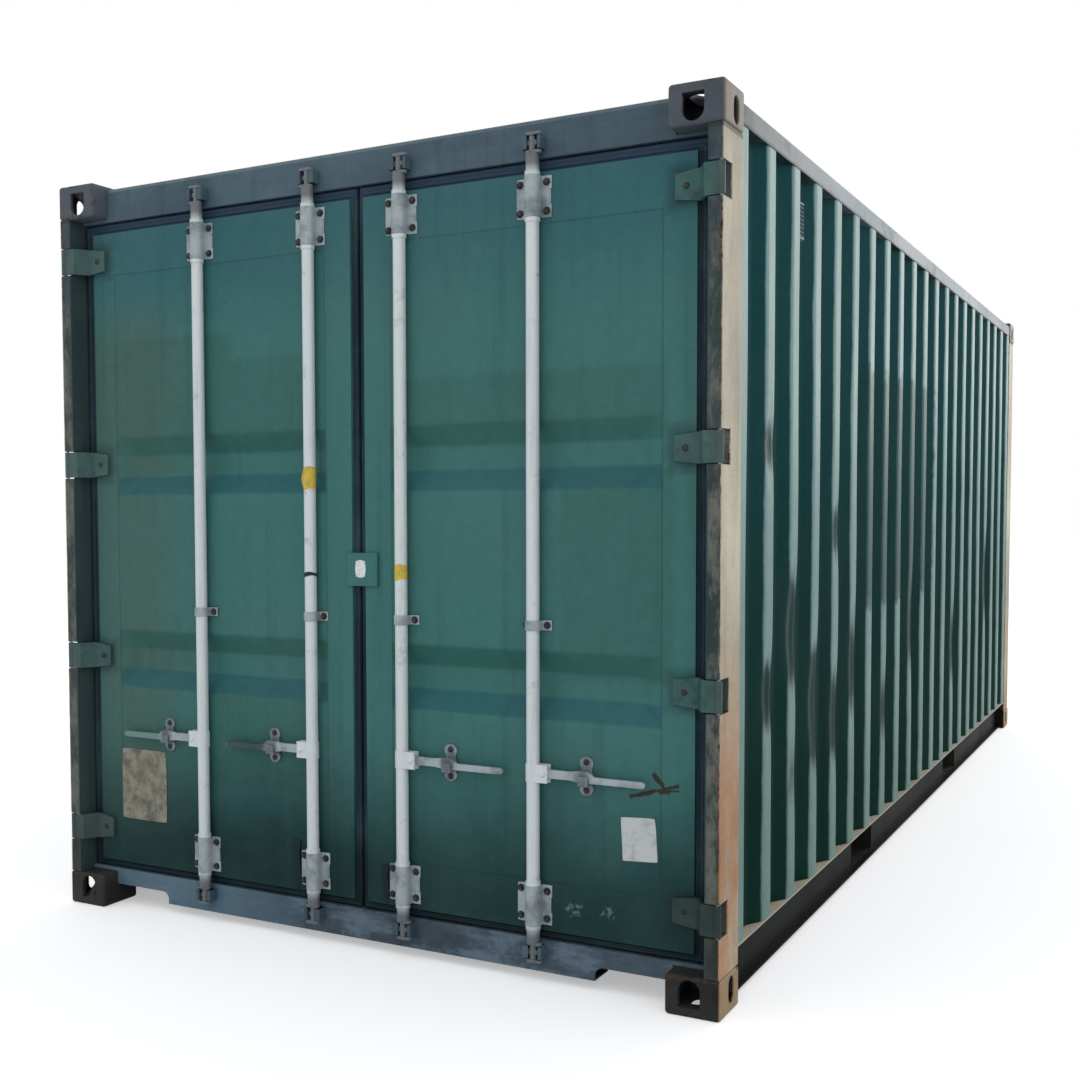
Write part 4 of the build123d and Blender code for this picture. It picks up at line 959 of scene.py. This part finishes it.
# %% Ventilators
def vent(name, sign, centre_x, centre_z, half_height, half=0.03, valley=1.175, louvre=0.013):
    """y = valley plane + 1 mm + 16 mm * rim * (0.5 + 0.5 * saw(z)), over a grid in x and z."""
    across = np.linspace(-half, half, 36)[None, :]
    up = np.linspace(-half_height, half_height, 90)[:, None]
    rim = np.clip(np.minimum(half - np.abs(across), half_height - np.abs(up)) / 0.008, 0, 1)
    rim = np.sin(rim * np.pi / 2)
    louvred = (np.abs(up) < half_height - louvre) & (np.abs(across) < 0.023)
    saw = np.where(louvred, np.mod(-up / louvre, 1.0), 0.8)
    proud = 0.001 + 0.016 * rim * (0.5 + 0.5 * saw)
    outer = grid(centre_x + across, sign * (valley + proud), centre_z + up)
    back = grid(centre_x + across, sign * (valley + 0.0001), centre_z + up)
    return add_sheet(name, outer, back, [vent_plastic], "container_frame", sharp=30)


low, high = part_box("side_vents")
middle, half_height = (low[2] + high[2]) / 2, (high[2] - low[2]) / 2
near_vent = vent("near_vent_cover", -1, low[0] + 0.03, middle, half_height)
vent("far_vent_cover", 1, high[0] - 0.03, middle, half_height)
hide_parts("side_vents")

# %% [markdown]
# Small flat things sit on the doors: the backing plates of the bar guides, a bare plate held by rivets, a
# blank paper label with lifted corners, stuck on a little crooked, and a splash of white on the seam
# plate. Each is a thin grid of points.

# %% Plates and label
def plate(name, side, centre_y, centre_z, width, height, thick, finish, curl=0.0, tilt=0.0, base_x=door_face,
          pinch=0.02):
    """A thin rectangle with rounded corners, turned by tilt; two corners lift by curl * (u v)^3."""
    u = np.linspace(-1, 1, 22)[None, :]
    v = np.linspace(-1, 1, 22)[:, None]
    lift = curl * np.clip(u * -v, 0, 1) ** 3
    pull = 1 - pinch * (np.abs(u) * np.abs(v)) ** (0.16 / pinch)
    run, rise = u * pull * width / 2, v * pull * height / 2
    y = centre_y + run * math.cos(tilt) - rise * math.sin(tilt)
    z = centre_z + run * math.sin(tilt) + rise * math.cos(tilt)
    face = grid(base_x - 0.0002 - thick - lift, y, z)
    add_sheet(name, face, face + np.array([thick, 0, 0]), [finish], f"{side}_door")


for side, sign in signs.items():
    for bar, bar_y in bar_ys.items():
        for level_name, guide_z in guide_zs.items():
            name = f"{side}_{bar}_{level_name}_guide_plate"
            plate(name, side, sign * bar_y + 0.006, guide_z, 0.11, 0.118, 0.0026, dull_zinc, pinch=0.03)
plate_y, plate_z = 0.918, 0.45
plate("bare_data_plate", "left", plate_y, plate_z, 0.205, 0.255, 0.0015, bare_plate)
plate_rivets = [(-2.9607, plate_y + dy, plate_z + dz) for dy in (-0.091, 0.091) for dz in (-0.116, 0.116)]
small_rivet = [(0.004, 0), (0.0038, 0.001), (0.002, 0.002)]
turned("plate_rivets", plate_rivets, small_rivet, 10, dull_zinc, "left_door")
plate("blank_label", "right", -0.955, 0.472, 0.106, 0.128, 0.0004, blank_label, curl=0.004, tilt=-0.06)
plate("white_splash_patch", "right", -0.012, 1.243, 0.04, 0.058, 0.0004, white_splash, base_x=-2.969,
      pinch=0.16)

# %% [markdown]
# Two limp black strips hang by the inner bars, and scraps of tape are wound round the bars. A wrap is a
# tube a little wider than the bar, uneven at its ends, and one of them sticks out in a flap.

# %% Strips and tape
def strip(name, side, top_y, low_z, high_z):
    """A limp strip: y = y0 + 5 mm * sin(8 s) * s, x = door face - 4 mm - 3 mm * sin(5 s), s down it."""
    s = np.linspace(0, 1, 40)[:, None]
    t = np.linspace(-1, 1, 7)[None, :]
    y = top_y + 0.012 * t * (1 - 0.3 * s) + 0.005 * np.sin(8 * s) * s
    z = high_z + (low_z - high_z) * s + 0.004 * t * s
    x = door_face - 0.004 - 0.003 * np.sin(5 * s) - 0.001 * t ** 2
    face = grid(x, y, z)
    add_sheet(name, face, face + np.array([0.002, 0, 0]), [rubber], f"{side}_door")


def sleeve(name, side, low_z, high_z, finish, slack=0.0006, flap=0.0):
    """A wrap of tape: radius = bar + slack + flap * exp(-((a - 90 deg) / 0.35)^2) * sin(pi s), s up it."""
    bar_y = signs[side] * bar_ys["inner"]
    angle = np.linspace(0, 2 * np.pi, 33)[None, :]
    rise = np.linspace(0, 1, 7)[:, None]
    z = low_z + (high_z - low_z) * rise + 0.003 * np.sin(angle * 2 + rise)
    radius = bar_radius + slack + flap * np.exp(-((angle - np.pi / 2) / 0.35) ** 2) * np.sin(np.pi * rise)
    outer, inner = (grid(bar_x + r * np.cos(angle), bar_y + r * np.sin(angle), z)
                    for r in (radius, radius - 0.0004))
    add_sheet(name, outer, inner, [finish], f"{side}_inner_bar")


for side, high_z in (("left", 0.33), ("right", 0.29)):
    strip(f"{side}_loose_strip", side, signs[side] * bar_ys["inner"] + 0.077, 0.166, high_z)
sleeve("yellow_wrap_high", "left", 1.5, 1.572, yellow_tape, flap=0.012)
sleeve("dark_ring", "left", 1.217, 1.229, rubber, 0.0012)
sleeve("yellow_wrap_low", "right", 1.212, 1.259, yellow_tape)

# %% [markdown]
# The photograph was taken from the right of the doors at about head height. The camera stands at the
# point that best matches the outline, and a small shift keeps the vertical lines nearly upright, as a
# view camera would.

# %% Camera
focal_pixels, frame_pixels, sensor = 1378.783, 1080.0, 36.0
stand = (-6.711, -2.382, 1.433)
yaw, pitch, roll = math.radians(30.704), math.radians(-2.929), math.radians(-0.348)
forward = Vector((math.cos(pitch) * math.cos(yaw), math.cos(pitch) * math.sin(yaw), math.sin(pitch)))
level_right = Vector((math.sin(yaw), -math.cos(yaw), 0.0))
level_up = level_right.cross(forward)
right = math.cos(roll) * level_right + math.sin(roll) * level_up
upward = -math.sin(roll) * level_right + math.cos(roll) * level_up
lens_data = bpy.data.cameras.new("camera")
lens_data.sensor_width = sensor
lens_data.lens = focal_pixels / frame_pixels * sensor
lens_data.shift_x, lens_data.shift_y = 0.1296, 0.037
lens_data.clip_end = 200.0
camera = place_object("camera", lens_data)
camera.matrix_world = Matrix([*zip(right, upward, -forward, stand), (0, 0, 0, 1)])
bpy.context.scene.camera = camera
print("camera at", tuple(round(v, 3) for v in camera.location))

# %% [markdown]
# The container stands on a pale floor. It glows just enough to meet the white sky, while it keeps the
# shadow.

# %% Studio floor
floor_skin, at, xyz = new_material("studio_floor")
tint = mix(speckle(at, 0.7, 3.0, 0.5), (0.8, 0.8, 0.8), (0.84, 0.84, 0.84))
cloth = close_material(tint, 0.9, specular=0.1)
looking = wire(floor_skin.node_tree, "ShaderNodeLightPath").outputs["Is Camera Ray"]
cloth.inputs["Emission Color"].default_value = opaque((1, 1, 1))
floor_skin.node_tree.links.new(times(looking, 0.4), cloth.inputs["Emission Strength"])
reach = np.linspace(-60, 60, 5)
ground = grid(reach[None, :], reach[:, None], 0.0)
floor_mesh = bpy.data.meshes.new("studio_floor")
floor_mesh.from_pydata(ground.reshape(-1, 3).tolist(), [], grid_quads(5, 5).tolist())
floor_mesh.materials.append(floor_skin)
studio_floor = place_object("studio_floor", floor_mesh)
print("floor:", studio_floor.name)

# %% [markdown]
# The light is soft daylight: a pale sky that is brighter above, and one broad lamp low behind the
# right-hand side, which skims along the wall and picks out its crests. To the camera the sky is plain
# white.

# %% Sky and lamp
world = bpy.data.worlds.new("daylight")
bpy.context.scene.world = world
world.use_nodes = True
world.node_tree.nodes.clear()
direction = wire(world.node_tree, "ShaderNodeTexCoord").outputs["Generated"]
climb = join("ShaderNodeSeparateXYZ", {0: direction}).outputs[2]
glow = mix(ramp(climb, -0.25, 0.85), (0.62, 0.64, 0.66), (0.98, 1, 1.04))
ray = wire(world.node_tree, "ShaderNodeLightPath").outputs
seen = largest(ray["Is Camera Ray"], largest(ray["Is Glossy Ray"], ray["Is Transmission Ray"]))
light = join("ShaderNodeBackground", {"Color": mix(seen, glow, (1, 1, 1)), "Strength": 1.0})
join("ShaderNodeOutputWorld", {"Surface": light.outputs[0]})

lamp_data = bpy.data.lights.new("skimming_lamp", "AREA")
lamp_data.shape = "RECTANGLE"
lamp_data.size, lamp_data.size_y = 3.0, 5.0
lamp_data.energy = 330.0
lamp_data.color = (1, 0.97, 0.92)
lamp = place_object("skimming_lamp", lamp_data)
lamp.location = (10.5, -4.6, 4.6)
lamp.rotation_euler = (Vector((-1, -1.2, 1.2)) - Vector(lamp.location)).to_track_quat("-Z", "Y").to_euler()
bpy.context.scene.view_settings.view_transform = "Standard"
print("sky and lamp set")
